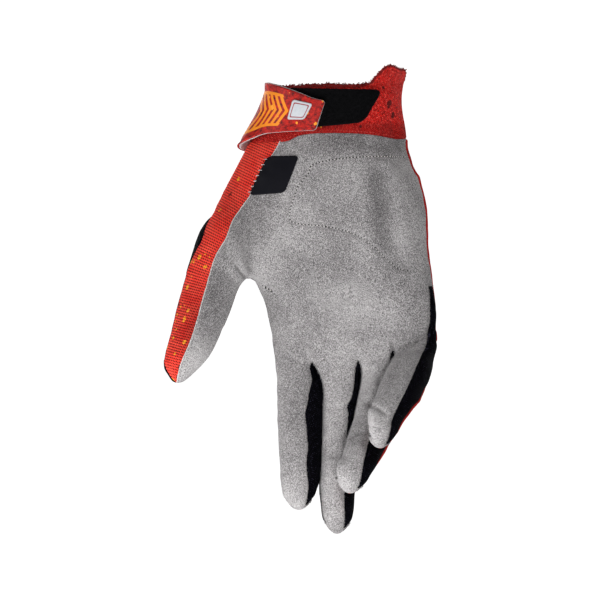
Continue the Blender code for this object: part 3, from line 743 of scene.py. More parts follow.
def cloth_mesh(name, places, normals, faces, lining, wall, roll, pattern):
    """A closed wall of cloth: its outside, a rolled edge, and a plainer inside.

    The lining's faces use the outside's corners. The pattern gives each corner its place
    in millimetres on the flat cloth, which becomes the UV map."""
    used, faces = np.unique(faces, return_inverse=True)
    faces = faces.reshape(-1, 4)
    lining = np.searchsorted(used, lining)
    outer = places[used].copy()
    up = normals[used]
    flat = pattern[used]
    after = rim_steps(faces)
    before = {end: start for start, end in after.items()}
    rim = sorted(after)
    behind = np.array([before[i] for i in rim])
    ahead = np.array([after[i] for i in rim])
    along = outer[ahead] - outer[behind]
    inward = np.cross(up[rim], along)
    inward /= np.linalg.norm(inward, axis=1)[:, None]
    edge = outer[rim] - up[rim] * roll * MM
    inner = outer - up * wall * MM
    outer[rim] += inward * roll * MM

    # Corners: the outside, the edge's middle line, then the inside
    inside = sorted(set(lining.ravel().tolist()) | set(rim))
    edge_at = {corner: len(outer) + i for i, corner in enumerate(rim)}
    inner_at = {corner: len(outer) + len(rim) + i for i, corner in enumerate(inside)}
    corners = np.concatenate((outer, edge, inner[inside]))
    shown = np.concatenate((flat, flat[rim], flat[inside]))
    polygons = faces.tolist()
    for start, end in after.items():
        polygons.append((end, start, edge_at[start], edge_at[end]))
        polygons.append((edge_at[end], edge_at[start], inner_at[start], inner_at[end]))
    lining_after = rim_steps(lining)
    for face in lining.tolist():
        line = []
        for start, end in zip(face, face[1:] + face[:1]):
            line.append(inner_at[start])
            if lining_after.get(start) == end:
                step = after[start]
                while step != end:
                    line.append(inner_at[step])
                    step = after[step]
        polygons.append(line[::-1])
    mesh = bpy.data.meshes.new(name)
    mesh.from_pydata(corners.tolist(), [], polygons)
    uv = mesh.uv_layers.new(name="cloth")
    loops = np.empty(len(mesh.loops), np.int32)
    mesh.loops.foreach_get("vertex_index", loops)
    uv.uv.foreach_set("vector", shown[loops].ravel())
    mesh.shade_smooth()
    return mesh


def panel_faces(panel):
    """A panel's faces on the outside and in the lining."""
    return skin_faces[skin_panels == panel], lining_faces[lining_panels == panel]


def panel_mesh(name, panel, wall, roll, pattern):
    """A closed wall of cloth over one panel of the skin."""
    faces, lining = panel_faces(panel)
    return cloth_mesh(name, skin_places, skin_normals, faces, lining, wall, roll, pattern)


def show(name, mesh, material, slot, *nodes):
    """Adds a finished piece, which rides with the glove and stands for some of its nodes."""
    piece = bpy.data.objects.new(name, mesh)
    mesh.materials.clear()
    mesh.materials.append(material)
    bpy.context.scene.collection.objects.link(piece)
    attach(piece, "root")
    if nodes:
        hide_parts(*nodes)


# Palm suede
# One piece of grey synthetic suede over the palm, the finger fronts, the fingertips and the
# thumb's front. Its cut edges are turned under and sewn to the knit and mesh panels.

SUEDE_WALL = 1.4
SUEDE_ROLL = 0.22
SUEDE_DARK = (0.085, 0.080, 0.082, 1)
SUEDE_GREY = (0.30, 0.286, 0.289, 1)
SUEDE_LIGHT = (0.66, 0.64, 0.64, 1)
FIBRE_SHARE = 0.80
TUFT_SHARE = 0.08
WORN_SHARE = 0.12


class Nodes:
    """Adds nodes to a node tree. An input is a value or the socket that feeds it."""

    def __init__(self, tree):
        self.tree = tree

    def add(self, kind, inputs=None, **settings):
        node = self.tree.nodes.new(kind)
        for name, value in settings.items():
            setattr(node, name, value)
        for key, value in (inputs or {}).items():
            if isinstance(value, bpy.types.NodeSocket):
                self.tree.links.new(value, node.inputs[key])
            else:
                node.inputs[key].default_value = value
        return node

    def math(self, operation, first, second=0.0, third=0.0):
        inputs = {0: first, 1: second, 2: third}
        return self.add("ShaderNodeMath", inputs, operation=operation).outputs[0]

    def vector(self, operation, first, second=(0, 0, 0)):
        inputs = {0: first, 1: second}
        return self.add("ShaderNodeVectorMath", inputs, operation=operation).outputs[0]

    def mix(self, share, first, second):
        inputs = {0: share, 6: first, 7: second}
        return self.add("ShaderNodeMix", inputs, data_type="RGBA").outputs[2]

    def step(self, value, low, high):
        """Zero below low, one above high, and smooth between them."""
        inputs = {"Value": value, "From Min": low, "From Max": high}
        return self.add("ShaderNodeMapRange", inputs, interpolation_type="SMOOTHSTEP").outputs[0]

    def noise(self, vector, scale, detail=2.0, roughness=0.5):
        inputs = {"Vector": vector, "Scale": scale, "Detail": detail, "Roughness": roughness}
        return self.add("ShaderNodeTexNoise", inputs).outputs[0]

    def band(self, value, low, high, blur):
        """One from low to high and zero outside, with soft edges."""
        begun = self.step(value, low - blur, low + blur)
        return self.math("MULTIPLY", begun, self.step(value, high + blur, high - blur))

    def ramp(self, value, stops):
        node = self.add("ShaderNodeValToRGB", {0: value})
        elements = node.color_ramp.elements
        while len(elements) < len(stops):
            elements.new(0.5)
        for element, (place, colour) in zip(elements, stops):
            element.position = place
            element.color = colour
        return node.outputs[0]

    def group(self, tree, inputs):
        return self.add("ShaderNodeGroup", inputs, node_tree=tree).outputs


def shader_group(name, inputs, outputs):
    """A shader node group with named sockets, as its tree, its nodes, its input and its output."""
    tree = bpy.data.node_groups.new(name, "ShaderNodeTree")
    for label, (kind, value) in inputs.items():
        socket = tree.interface.new_socket(label, in_out="INPUT", socket_type=kind)
        if value is not None:
            socket.default_value = value
    for label, kind in outputs.items():
        tree.interface.new_socket(label, in_out="OUTPUT", socket_type=kind)
    nodes = Nodes(tree)
    return tree, nodes, nodes.add("NodeGroupInput").outputs, nodes.add("NodeGroupOutput").inputs


def finish_material(name, build):
    """A material from a function that adds its nodes and gives its colour, the height and the
    depth in millimetres of its relief, and the settings of its shader."""
    material = bpy.data.materials.new(name)
    material.use_nodes = True
    nodes = Nodes(material.node_tree)
    shader = material.node_tree.nodes["Principled BSDF"]
    colour, height, depth, settings = build(nodes)
    material.node_tree.links.new(colour, shader.inputs["Base Color"])
    bump = nodes.add("ShaderNodeBump", {"Height": height, "Distance": depth * MM, "Strength": 1.0})
    material.node_tree.links.new(bump.outputs[0], shader.inputs["Normal"])
    for key, value in settings.items():
        shader.inputs[key].default_value = value
    return material


def nap_group():
    """Short brushed fibres: fine streaks, tufts and broad worn areas, by their sizes."""
    tree, nodes, given, out = shader_group(
        "brushed_nap",
        {"Place": ("NodeSocketVector", None), "Fibre": ("NodeSocketFloat", 0.5),
         "Tuft": ("NodeSocketFloat", 3.0), "Worn area": ("NodeSocketFloat", 20.0)},
        {"Shade": "NodeSocketFloat", "Height": "NodeSocketFloat"})
    leaning = nodes.add("ShaderNodeMapping", {
        "Vector": given["Place"], "Rotation": (0.0, 0.6, 0.0), "Scale": (1.0, 1.0, 0.55)}).outputs[0]
    fibre = nodes.noise(leaning, nodes.math("DIVIDE", 1 / MM, given["Fibre"]), 3.0, 0.75)
    tuft = nodes.noise(given["Place"], nodes.math("DIVIDE", 1 / MM, given["Tuft"]), 2.0, 0.6)
    worn = nodes.noise(given["Place"], nodes.math("DIVIDE", 1 / MM, given["Worn area"]), 2.0, 0.5)
    shade = nodes.math("MULTIPLY", fibre, FIBRE_SHARE)
    shade = nodes.math("MULTIPLY_ADD", tuft, TUFT_SHARE, shade)
    shade = nodes.math("MULTIPLY_ADD", worn, WORN_SHARE, shade)
    nodes.tree.links.new(shade, out["Shade"])
    nodes.tree.links.new(nodes.math("MULTIPLY_ADD", tuft, 0.6, fibre), out["Height"])
    return tree


def painted_spot_group():
    """How near a place is to a spot of painted light or shade: one inside, zero outside."""
    tree, nodes, given, out = shader_group(
        "painted_shading_spot",
        {"Place": ("NodeSocketVector", None), "Middle": ("NodeSocketVector", None),
         "Reach": ("NodeSocketVector", None)},
        {"Share": "NodeSocketFloat"})
    apart = nodes.vector("SUBTRACT", given["Place"], given["Middle"])
    apart = nodes.vector("DIVIDE", apart, given["Reach"])
    away = nodes.add("ShaderNodeVectorMath", {0: apart}, operation="LENGTH").outputs["Value"]
    nodes.tree.links.new(nodes.math("SUBTRACT", 1.0, nodes.step(away, 0.0, 1.0)), out["Share"])
    return tree


class PaintedSpot(NamedTuple):
    """A spot of painted light or shade, in millimetres across and down, where the cloth is lighter or
    darker by a shade.
    """
    place: tuple
    reach: tuple
    shade: float


# Painted light and shade on the suede: darker spots where the palm's hollow, its top under the cuff,
# its heel, the thenar, the thumb, the index finger and the palm's side by the little finger fall in
# shade, and lighter ones where the thumb's tip, the palm's middle and the fingertips catch the light
PAINTED_SPOTS = (
    PaintedSpot((25, -62), (11, 38), -0.060), PaintedSpot((10, -30), (52, 12), -0.045),
    PaintedSpot((2, -56), (28, 20), -0.014), PaintedSpot((-36, -64), (18, 30), -0.032),
    PaintedSpot((-60, -110), (12, 28), -0.035), PaintedSpot((-66, -139), (14, 18), 0.055),
    PaintedSpot((-18, -168), (14, 55), -0.042), PaintedSpot((40, -112), (14, 24), -0.024),
    PaintedSpot((6, -110), (30, 18), 0.022), PaintedSpot((24, -168), (12, 14), 0.024),
    PaintedSpot((3, -208), (10, 26), 0.022),
)

brushed_nap = nap_group()
painted_shading_spot = painted_spot_group()


def painted_spot_share(nodes, place, painted_spot):
    """How strongly a spot of painted light or shade acts on a place, from zero to one."""
    middle = (painted_spot.place[0] * MM, 0.0, painted_spot.place[1] * MM)
    reach = (painted_spot.reach[0] * MM, 1.0, painted_spot.reach[1] * MM)
    return nodes.group(painted_shading_spot, {"Place": place, "Middle": middle, "Reach": reach})["Share"]


def suede_nodes(nodes):
    place = nodes.add("ShaderNodeTexCoord").outputs["Object"]
    nap = nodes.group(brushed_nap, {"Place": place, "Fibre": 0.30, "Tuft": 1.3, "Worn area": 24.0})
    shade = nap["Shade"]
    # Painted light and shade shift the suede's tone at the spots above
    for painted_spot in PAINTED_SPOTS:
        shade = nodes.math("MULTIPLY_ADD", painted_spot_share(nodes, place, painted_spot), painted_spot.shade, shade)
    colour = nodes.ramp(shade, ((0.41, SUEDE_DARK), (0.5, SUEDE_GREY), (0.59, SUEDE_LIGHT)))
    return colour, nap["Height"], 0.22, {
        "Roughness": 0.95, "Specular IOR Level": 0.12, "Sheen Weight": 0.15,
        "Sheen Roughness": 0.45, "Sheen Tint": (0.95, 0.94, 0.95, 1)}


suede = finish_material("grey_suede", suede_nodes)
flat_front = skin_places[:, (0, 2)] / MM
palm_mesh = panel_mesh("palm_suede", PALM, SUEDE_WALL, SUEDE_ROLL, flat_front)
show("suede_palm", palm_mesh, suede, "suede", "palm_suede")


# Thumb gusset
# A strip of red ribbed knit from the cuff along the thumb's outer side to its tip. Its ribs run
# across the strip, and it is printed with small orange and dark specks.

KNIT_WALL = 1.5
RIB_PITCH = 1.32
RIB_HEIGHT = 0.34
RIB_WALE = 1.9
RIB_SLANT = 0.5
RIB_CUTS = 4
RIB_ROUNDING = 0.7
PANEL_ROLL = 0.3
KNIT_RED = (1.0, 0.085, 0.055, 1)
KNIT_WORN = (0.88, 0.038, 0.026, 1)
KNIT_PAINTED_SHADE = (0.07, 0.002, 0.002, 1)
SPECK_ORANGE = (0.95, 0.36, 0.03, 1)
SPECK_DARK = (0.06, 0.008, 0.008, 1)
# Painted shadow on the gusset's lower part, by the thumb's tip, where the strip curves away from the
# light
GUSSET_PAINTED_SHADOW = PaintedSpot((-66, -128), (16, 42), 0.50)

# The strip's middle line, in millimetres across and down from the hem's middle
GUSSET_LINE = (
    (-29, -22), (-35, -36), (-45, -56), (-56, -76), (-64, -94), (-69, -112), (-73, -128), (-79, -150))


def smooth_line(points, steps):
    """Even places on a smooth curve through some points, as an array."""
    points = [np.array(point, float) for point in points]
    points = [2 * points[0] - points[1]] + points + [2 * points[-1] - points[-2]]
    places = []
    for a, b, c, d in zip(points, points[1:], points[2:], points[3:]):
        for step in range(steps):
            t = step / steps
            curve = 2 * b + (c - a) * t + (2 * a - 5 * b + 4 * c - d) * t ** 2
            places.append((curve + (3 * b - a - 3 * c + d) * t ** 3) / 2)
    return np.array(places + [points[-2]])


def strip_places(places, line):
    """Places across and along a strip, in millimetres, seen from the palm side."""
    steps = np.diff(line, axis=0)
    lengths = np.linalg.norm(steps, axis=1)
    starts = np.concatenate(([0.0], np.cumsum(lengths)))
    directions = steps / lengths[:, None]
    tree = point_tree([((a[0] + b[0]) / 2, 0, (a[1] + b[1]) / 2) for a, b in zip(line, line[1:])])
    flat = places[:, (0, 2)] / MM
    near = np.array([tree.find((x, 0, z))[1] for x, z in flat])
    away = flat - line[near]
    along = starts[near] + (away * directions[near]).sum(axis=1)
    across = away[:, 0] * directions[near, 1] - away[:, 1] * directions[near, 0]
    return np.stack((across + places[:, 1] / MM, along), axis=1)


def cut_lengthwise(places, normals, faces, cuts):
    """Cuts each face's first and third edge into even parts."""
    edges = np.concatenate((faces[:, (0, 1)], faces[:, (3, 2)]))
    ordered = np.sort(edges, axis=1)
    single, number = np.unique(ordered, axis=0, return_inverse=True)
    number = number.ravel()
    shares = np.arange(1, cuts) / cuts
    ends = places[single]
    added = ends[:, None, 0] + (ends[:, None, 1] - ends[:, None, 0]) * shares[None, :, None]
    ups = normals[single]
    added_ups = ups[:, None, 0] + (ups[:, None, 1] - ups[:, None, 0]) * shares[None, :, None]
    added_ups /= np.linalg.norm(added_ups, axis=2)[:, :, None]
    numbers = len(places) + np.arange(len(single) * (cuts - 1)).reshape(len(single), cuts - 1)
    inner = numbers[number]
    turned = edges[:, 0] != ordered[:, 0]
    inner[turned] = inner[turned][:, ::-1]
    lines = np.concatenate((edges[:, :1], inner, edges[:, 1:]), axis=1)
    left, right = lines[:len(faces)], lines[len(faces):]
    parts = [np.stack((left[:, i], left[:, i + 1], right[:, i + 1], right[:, i]), axis=1)
             for i in range(cuts)]
    places = np.concatenate((places, added.reshape(-1, 3)))
    normals = np.concatenate((normals, added_ups.reshape(-1, 3)))
    return places, normals, np.concatenate(parts)


def specks_group():
    """Printed drops: round spots of many sizes with uneven edges, thrown at random."""
    tree, nodes, given, out = shader_group(
        "printed_specks",
        {"Place": ("NodeSocketVector", None), "Spacing": ("NodeSocketFloat", 6.0),
         "Size": ("NodeSocketFloat", 0.2), "Share": ("NodeSocketFloat", 0.3)},
        {"Mask": "NodeSocketFloat"})
    blur = nodes.add("ShaderNodeTexNoise", {"Vector": given["Place"], "Scale": 0.9, "Detail": 1.0})
    shaken = nodes.vector("SUBTRACT", blur.outputs["Color"], (0.5, 0.5, 0.5))
    shaken = nodes.vector("ADD", given["Place"], shaken)
    scale = nodes.math("DIVIDE", 1.0, given["Spacing"])
    drops = nodes.add("ShaderNodeTexVoronoi", {"Vector": shaken, "Scale": scale})
    chance = nodes.add("ShaderNodeSeparateColor", {0: drops.outputs["Color"]}).outputs
    size = nodes.math("MULTIPLY", chance[1], given["Size"])
    round_spot = nodes.math("LESS_THAN", drops.outputs["Distance"], size)
    chosen = nodes.math("LESS_THAN", chance[0], given["Share"])
    nodes.tree.links.new(nodes.math("MULTIPLY", round_spot, chosen), out["Mask"])
    return tree


def knit_group():
    """The loops of a knit: columns of small slanted ridges, as a height."""
    tree, nodes, given, out = shader_group(
        "knit_loops",
        {"Place": ("NodeSocketVector", None), "Wale": ("NodeSocketFloat", 0.9),
         "Course": ("NodeSocketFloat", 0.7), "Turn": ("NodeSocketFloat", 0.0)},
        {"Height": "NodeSocketFloat"})
    turned = nodes.add("ShaderNodeVectorRotate", {
        "Vector": given["Place"], "Angle": given["Turn"]}, rotation_type="Z_AXIS").outputs[0]
    parts = nodes.add("ShaderNodeSeparateXYZ", {0: turned}).outputs
    wale = nodes.math("DIVIDE", parts[0], given["Wale"])
    column = nodes.math("ABSOLUTE", nodes.math("SUBTRACT", nodes.math("FRACT", wale), 0.5))
    course = nodes.math("DIVIDE", parts[1], given["Course"])
    slanted = nodes.math("MULTIPLY_ADD", column, 1.3, course)
    loop = nodes.math("SINE", nodes.math("MULTIPLY", slanted, 2 * math.pi))
    from_ridge = nodes.math("SUBTRACT", column, 0.25)
    ridge = nodes.math("COSINE", nodes.math("MULTIPLY", from_ridge, 2 * math.pi))
    height = nodes.math("MULTIPLY", nodes.math("MULTIPLY_ADD", loop, 0.35, 0.65), ridge)
    nodes.tree.links.new(height, out["Height"])
    return tree


printed_specks = specks_group()
knit_loops = knit_group()


def cloth_place(nodes):
    """The place on the flat cloth, in millimetres."""
    return nodes.add("ShaderNodeUVMap", uv_map="cloth").outputs[0]


def speckled(nodes, colour, place, ink, spacing, size, share, cover=1.0):
    """A colour with specks of ink. Spacing is in millimetres, and size is a share of it."""
    specks = nodes.group(printed_specks, {
        "Place": place, "Spacing": spacing, "Size": size, "Share": share})["Mask"]
    return nodes.mix(nodes.math("MULTIPLY", specks, cover), colour, ink)


def gusset_nodes(nodes):
    place = cloth_place(nodes)
    across, along, _ = nodes.add("ShaderNodeSeparateXYZ", {0: place}).outputs
    wale = nodes.math("FRACT", nodes.math("DIVIDE", across, RIB_WALE))
    slanted = nodes.math("MULTIPLY_ADD", wale, RIB_SLANT, along)
    rib = nodes.math("SINE", nodes.math("MULTIPLY", slanted, math.pi / RIB_PITCH))
    groove = nodes.math("SUBTRACT", 1.0, nodes.step(nodes.math("ABSOLUTE", rib), 0.2, 0.8))
    open_part = nodes.math("SINE", nodes.math("MULTIPLY", wale, math.pi))
    groove = nodes.math("MULTIPLY", groove, nodes.step(open_part, 0.1, 0.55))
    crown = nodes.math("SUBTRACT", 1.0, groove)
    loops = nodes.group(knit_loops, {"Place": place, "Wale": 0.62, "Course": RIB_PITCH})["Height"]
    blotch = nodes.noise(place, 0.12, 3.0, 0.6)
    red = nodes.mix(nodes.step(blotch, 0.3, 0.75), KNIT_RED, KNIT_WORN)
    # Painted shade darkens the grooves between the ribs
    colour = nodes.mix(crown, KNIT_PAINTED_SHADE, red)
    # Painted shadow darkens the strip near the thumb's tip
    spot = painted_spot_share(nodes, nodes.add("ShaderNodeTexCoord").outputs["Object"], GUSSET_PAINTED_SHADOW)
    colour = nodes.mix(nodes.math("MULTIPLY", spot, GUSSET_PAINTED_SHADOW.shade), colour, KNIT_PAINTED_SHADE)
    colour = speckled(nodes, colour, place, SPECK_DARK, 5.0, 0.36, 0.20, 0.75)
    often = nodes.math("MULTIPLY_ADD", nodes.step(along, 30.0, 75.0), 0.45, 0.10)
    on_crowns = nodes.math("MULTIPLY_ADD", crown, 0.5, 0.5)
    colour = speckled(nodes, colour, place, SPECK_ORANGE, 3.9, 0.42, often, on_crowns)
    return colour, loops, 0.10, {
        "Roughness": 0.85, "Specular IOR Level": 0.12, "Sheen Weight": 0.10,
        "Sheen Roughness": 0.4, "Sheen Tint": (1.0, 0.25, 0.2, 1)}


# The skin's last faces on the gusset close the thumb's tip, and they are left uncut
gusset_line = smooth_line(GUSSET_LINE, 12)
gusset_faces, gusset_lining = panel_faces(GUSSET)
cap_faces = 4 ** SKIN_LEVELS
strip, cap = gusset_faces[:-cap_faces], gusset_faces[-cap_faces:]
rib_places, rib_normals, strip = cut_lengthwise(skin_places, skin_normals, strip, RIB_CUTS)
gusset_faces = np.concatenate((strip, cap))
gusset_pattern = np.zeros((len(rib_places), 2))
on_gusset = np.unique(gusset_faces)
gusset_pattern[on_gusset] = strip_places(rib_places[on_gusset], gusset_line)
wales = gusset_pattern[:, 0] / RIB_WALE % 1
slanted = gusset_pattern[:, 1] + RIB_SLANT * wales
grooves = 1 - np.abs(np.sin(math.pi * slanted / RIB_PITCH)) ** RIB_ROUNDING
grooves *= np.clip(2 * np.sin(math.pi * wales), 0, 1)
rib_places = rib_places - rib_normals * (grooves * RIB_HEIGHT * MM)[:, None]
gusset_mesh = cloth_mesh(
    "thumb_gusset", rib_places, rib_normals, gusset_faces, gusset_lining,
    KNIT_WALL, PANEL_ROLL, gusset_pattern)
ribbed_knit = finish_material("red_ribbed_knit", gusset_nodes)
show("ribbed_thumb_gusset", gusset_mesh, ribbed_knit, "ribbed_knit", "thumb_gusset")


# Back panel
# One piece of red knit over the back of the hand and the finger backs, printed with small specks
# and sewn to the mesh between the fingers.

BACK_RED = (0.70, 0.020, 0.014, 1)
BACK_WORN = (0.42, 0.012, 0.012, 1)
BACK_PAINTED_SHADE = (0.20, 0.006, 0.006, 1)


def red_knit_nodes(nodes):
    place = cloth_place(nodes)
    loops = nodes.group(knit_loops, {"Place": place, "Wale": 1.0, "Course": 0.8})["Height"]
    blotch = nodes.noise(place, 0.09, 3.0, 0.6)
    red = nodes.mix(nodes.step(blotch, 0.3, 0.75), BACK_RED, BACK_WORN)
    # Painted shade darkens the knit between its loops
    colour = nodes.mix(nodes.step(loops, -0.2, 0.7), BACK_PAINTED_SHADE, red)
    colour = speckled(nodes, colour, place, SPECK_DARK, 13.0, 0.28, 0.4, 0.7)
    colour = speckled(nodes, colour, place, SPECK_ORANGE, 8.4, 0.22, 0.3)
    return colour, loops, 0.16, {
        "Roughness": 0.88, "Specular IOR Level": 0.2, "Sheen Weight": 0.15,
        "Sheen Roughness": 0.4, "Sheen Tint": (1.0, 0.5, 0.45, 1)}


red_knit = finish_material("red_knit", red_knit_nodes)
back_mesh = panel_mesh("back_panel", BACK, KNIT_WALL, PANEL_ROLL, flat_front)
show("knit_back", back_mesh, red_knit, "red_knit", "back_panel")


# Mesh panels
# Black open-knit mesh: three fourchettes between the fingers, a strip along the little finger's
# outer side and a panel over the back of the thumb.

MESH_WALL = 1.4
MESH_BLACK = (0.0004, 0.0004, 0.0008, 1)
MESH_YARN_HIGHLIGHT = (0.095, 0.090, 0.140, 1)
MESH_TURN = 0.4


def black_mesh_nodes(nodes):
    place = cloth_place(nodes)
    loops = nodes.group(
        knit_loops, {"Place": place, "Wale": 1.25, "Course": 1.0, "Turn": 0.5})["Height"]
    # Painted highlights: the loops' crowns are lighter where a noise says the yarn catches the light,
    # and elsewhere the mesh is black
    shine = nodes.step(nodes.noise(place, 1.6, 2.0, 0.7), 0.52, 0.66)
    lit = nodes.math("MULTIPLY_ADD", shine, 0.92, 0.08)
    yarn = nodes.math("MULTIPLY", nodes.step(loops, 0.5, 0.95), lit)
    return nodes.mix(yarn, MESH_BLACK, MESH_YARN_HIGHLIGHT), loops, 0.25, {
        "Roughness": 0.8, "Specular IOR Level": 0.02}


# These panels stand on edge, so their pattern is laid mostly along the hand's depth
black_mesh = finish_material("black_mesh", black_mesh_nodes)
deep = skin_places[:, 1] + MESH_TURN * skin_places[:, 0]
flat_side = np.stack((deep, skin_places[:, 2]), axis=1) / MM
MESH_PANELS = (
    ("mesh_index_middle", FORK_ONE),
    ("mesh_middle_ring", FORK_TWO),
    ("mesh_ring_little", FORK_THREE),
    ("mesh_little_side", SIDE),
    ("mesh_thumb_back", THUMB_BACK),
)
for name, panel in MESH_PANELS:
    mesh = panel_mesh(name, panel, MESH_WALL, PANEL_ROLL, flat_side)
    show(name, mesh, black_mesh, "black_mesh", PANELS[panel])


# Cuff
# A band of red stretch knit round the wrist, sewn to the hand panels. Its hem is raw, and a tab
# to pull the glove on rises from it on the little finger's side.

CUFF_WALL = 1.6
CUFF_RED = (0.95, 0.024, 0.018, 1)
CUFF_WORN = (0.62, 0.010, 0.009, 1)
CUFF_FLECK = (1.0, 0.09, 0.07, 1)
CUFF_PAINTED_SHADE = (0.10, 0.003, 0.003, 1)

# Painted shade: the knit is darker along the seam below the loop patch and, up to the tab, along the
# hem above it. A band starts at its first place and is full at its second
CUFF_SHADE = 0.60
SEAM_SHADE = 0.7
SEAM_BAND = (-18.5, -21.5)
HEM_BAND = (-3.4, -1.6)
HEM_BAND_END = (23.0, 19.0)


def cuff_nodes(nodes):
    place = cloth_place(nodes)
    loops = nodes.group(
        knit_loops, {"Place": place, "Wale": 1.9, "Course": 1.5, "Turn": 0.9})["Height"]
    blotch = nodes.noise(place, 0.3, 4.0, 0.7)
    red = nodes.mix(nodes.step(blotch, 0.35, 0.7), CUFF_RED, CUFF_WORN)
    # Painted shade darkens the knit between its loops
    colour = nodes.mix(nodes.step(loops, -0.3, 0.55), CUFF_PAINTED_SHADE, red)
    fleck = nodes.step(nodes.noise(place, 0.8, 3.0, 0.75), 0.50, 0.62)
    colour = nodes.mix(nodes.math("MULTIPLY", fleck, 0.9), colour, CUFF_FLECK)
    # Painted shade darkens the knit's pits
    pit = nodes.step(nodes.noise(place, 0.7, 3.0, 0.75), 0.46, 0.36)
    colour = nodes.mix(nodes.math("MULTIPLY", pit, 0.85), colour, CUFF_PAINTED_SHADE)
    across, along, _ = nodes.add("ShaderNodeSeparateXYZ", {0: place}).outputs
    # Painted shade along the seam and the hem
    by_seam = nodes.math("MULTIPLY", nodes.step(along, *SEAM_BAND), SEAM_SHADE)
    by_hem = nodes.math("MULTIPLY", nodes.step(along, *HEM_BAND), nodes.step(across, *HEM_BAND_END))
    shade = nodes.math("MULTIPLY", nodes.math("MAXIMUM", by_seam, by_hem), CUFF_SHADE)
    colour = nodes.mix(shade, colour, CUFF_PAINTED_SHADE)
    colour = speckled(nodes, colour, place, SPECK_DARK, 5.0, 0.36, 0.26, 0.85)
    colour = speckled(nodes, colour, place, SPECK_ORANGE, 9.0, 0.12, 0.3)
    return colour, loops, 0.6, {
        "Roughness": 0.85, "Specular IOR Level": 0.12, "Sheen Weight": 0.03,
        "Sheen Roughness": 0.4, "Sheen Tint": (1.0, 0.25, 0.2, 1)}


wrist_turn = np.arctan2(skin_places[:, 0], -skin_places[:, 1])
round_wrist = np.stack((wrist_turn * WRIST_WIDTH / 2, skin_places[:, 2] / MM), axis=1)
cuff_knit = finish_material("cuff_knit", cuff_nodes)
cuff_mesh = panel_mesh("cuff", CUFF, CUFF_WALL, PANEL_ROLL, round_wrist)
show("knit_cuff", cuff_mesh, cuff_knit, "cuff_knit", "cuff")


# Loop patch
# Black loop tape sewn on the cuff's palm side, which the strap closes on. Thousands of small
# loops of yarn stand on a woven ground.


class Patch(NamedTuple):
    """A flat piece that is laid on the palm side, in millimetres: its flat size, its wall, its
    rounded corners, its rolled edge, the step of its mesh and the gap under it."""
    size: tuple
    wall: float
    corner: float
    roll: float
    step: float
    gap: float = 0.0


LAY_GAP = 0.4
LOOP_WALL = 1.2
SHEET_ROLL = 0.3
LOOP_TAPE = Patch((0.62 * WRIST_WIDTH, 0.74 * CUFF_HEIGHT), LOOP_WALL, 3.6, SHEET_ROLL, 0.8, LAY_GAP)
LOOP_DARK = (0.0016, 0.0016, 0.002, 1)
LOOP_LIGHT = (0.006, 0.006, 0.007, 1)

# The tape's corners, as shares of the wrist's width and the cuff's height
LOOP_OUTLINE = ((-0.31, -0.09), (0.365, -0.12), (-0.27, -0.88), (0.235, -0.74))

# Loops for each square millimetre, and the plain ground that carries them
PILE_DENSITY = 3.2
PILE_HEIGHT = 0.5
PILE_RADIUS = 0.09
PILE_GROUND = LOOP_TAPE._replace(step=2.0)

# Nearer to the hem than this share of the cuff's height, a piece on the cuff stands straight
HEM_MARGIN = 0.14


def rounded_grid(width, height, corner, step):
    """Even places inside a rectangle whose corners are rounded, in rows, as shares of its sides."""
    columns, rows = round(width / step), round(height / step)
    grid = []
    for row in range(rows + 1):
        line = []
        for column in range(columns + 1):
            x, y = width * column / columns, height * row / rows
            side_x, side_y = min(x, width - x), min(y, height - y)
            if side_x < corner and side_y < corner:
                a, b = 1 - side_x / corner, 1 - side_y / corner
                new_x = corner * (1 - a * math.sqrt(1 - b * b / 2))
                new_y = corner * (1 - b * math.sqrt(1 - a * a / 2))
                x = new_x if x < width / 2 else width - new_x
                y = new_y if y < height / 2 else height - new_y
            line.append((x / width, y / height))
        grid.append(line)
    return grid


def sheet_mesh(name, grid, place_at, size, wall, roll):
    """A sheet on a grid of shares. place_at gives each share its place and its normal."""
    places, normals, flat = [], [], []
    for line in grid:
        for across, down in line:
            place, normal = place_at(across, down)
            places.append(place)
            normals.append(normal)
            flat.append((across * size[0], down * size[1]))
    wide = len(grid[0])
    faces = [(r * wide + c, (r + 1) * wide + c, (r + 1) * wide + c + 1, r * wide + c + 1)
             for r in range(len(grid) - 1) for c in range(wide - 1)]
    faces = np.array(faces, np.int32)
    return cloth_mesh(
        name, np.array(places), np.array(normals, float), faces, faces, wall, roll, np.array(flat))


def outline_corners(middle, size, shares):
    """The corners of an outline round its middle, from shares of a size."""
    return [(middle[0] + x * size[0], middle[1] + z * size[1]) for x, z in shares]


def inside_outline(corners, across, down):
    """A place in a four-cornered outline: upper left, upper right, lower left, lower right."""
    upper_left, upper_right, lower_left, lower_right = (Vector(corner) for corner in corners)
    return upper_left.lerp(upper_right, across).lerp(lower_left.lerp(lower_right, across), down)


def patch_on(name, surface, corners, patch):
    """A patch with a four-cornered outline, laid on the palm side. Its top lies a wall higher."""
    def place_at(across, down):
        x, z = inside_outline(corners, across, down)
        return surface.in_front(x, z, patch.gap + patch.wall)
    grid = rounded_grid(*patch.size, patch.corner, patch.step)
    return sheet_mesh(name, grid, place_at, patch.size, patch.wall, patch.roll)


def loop_nodes(nodes):
    place = cloth_place(nodes)
    fuzz = nodes.noise(place, 3.0, 3.0, 0.7)
    return nodes.mix(fuzz, LOOP_DARK, LOOP_LIGHT), fuzz, 0.2, {
        "Roughness": 0.95, "Specular IOR Level": 0.1}


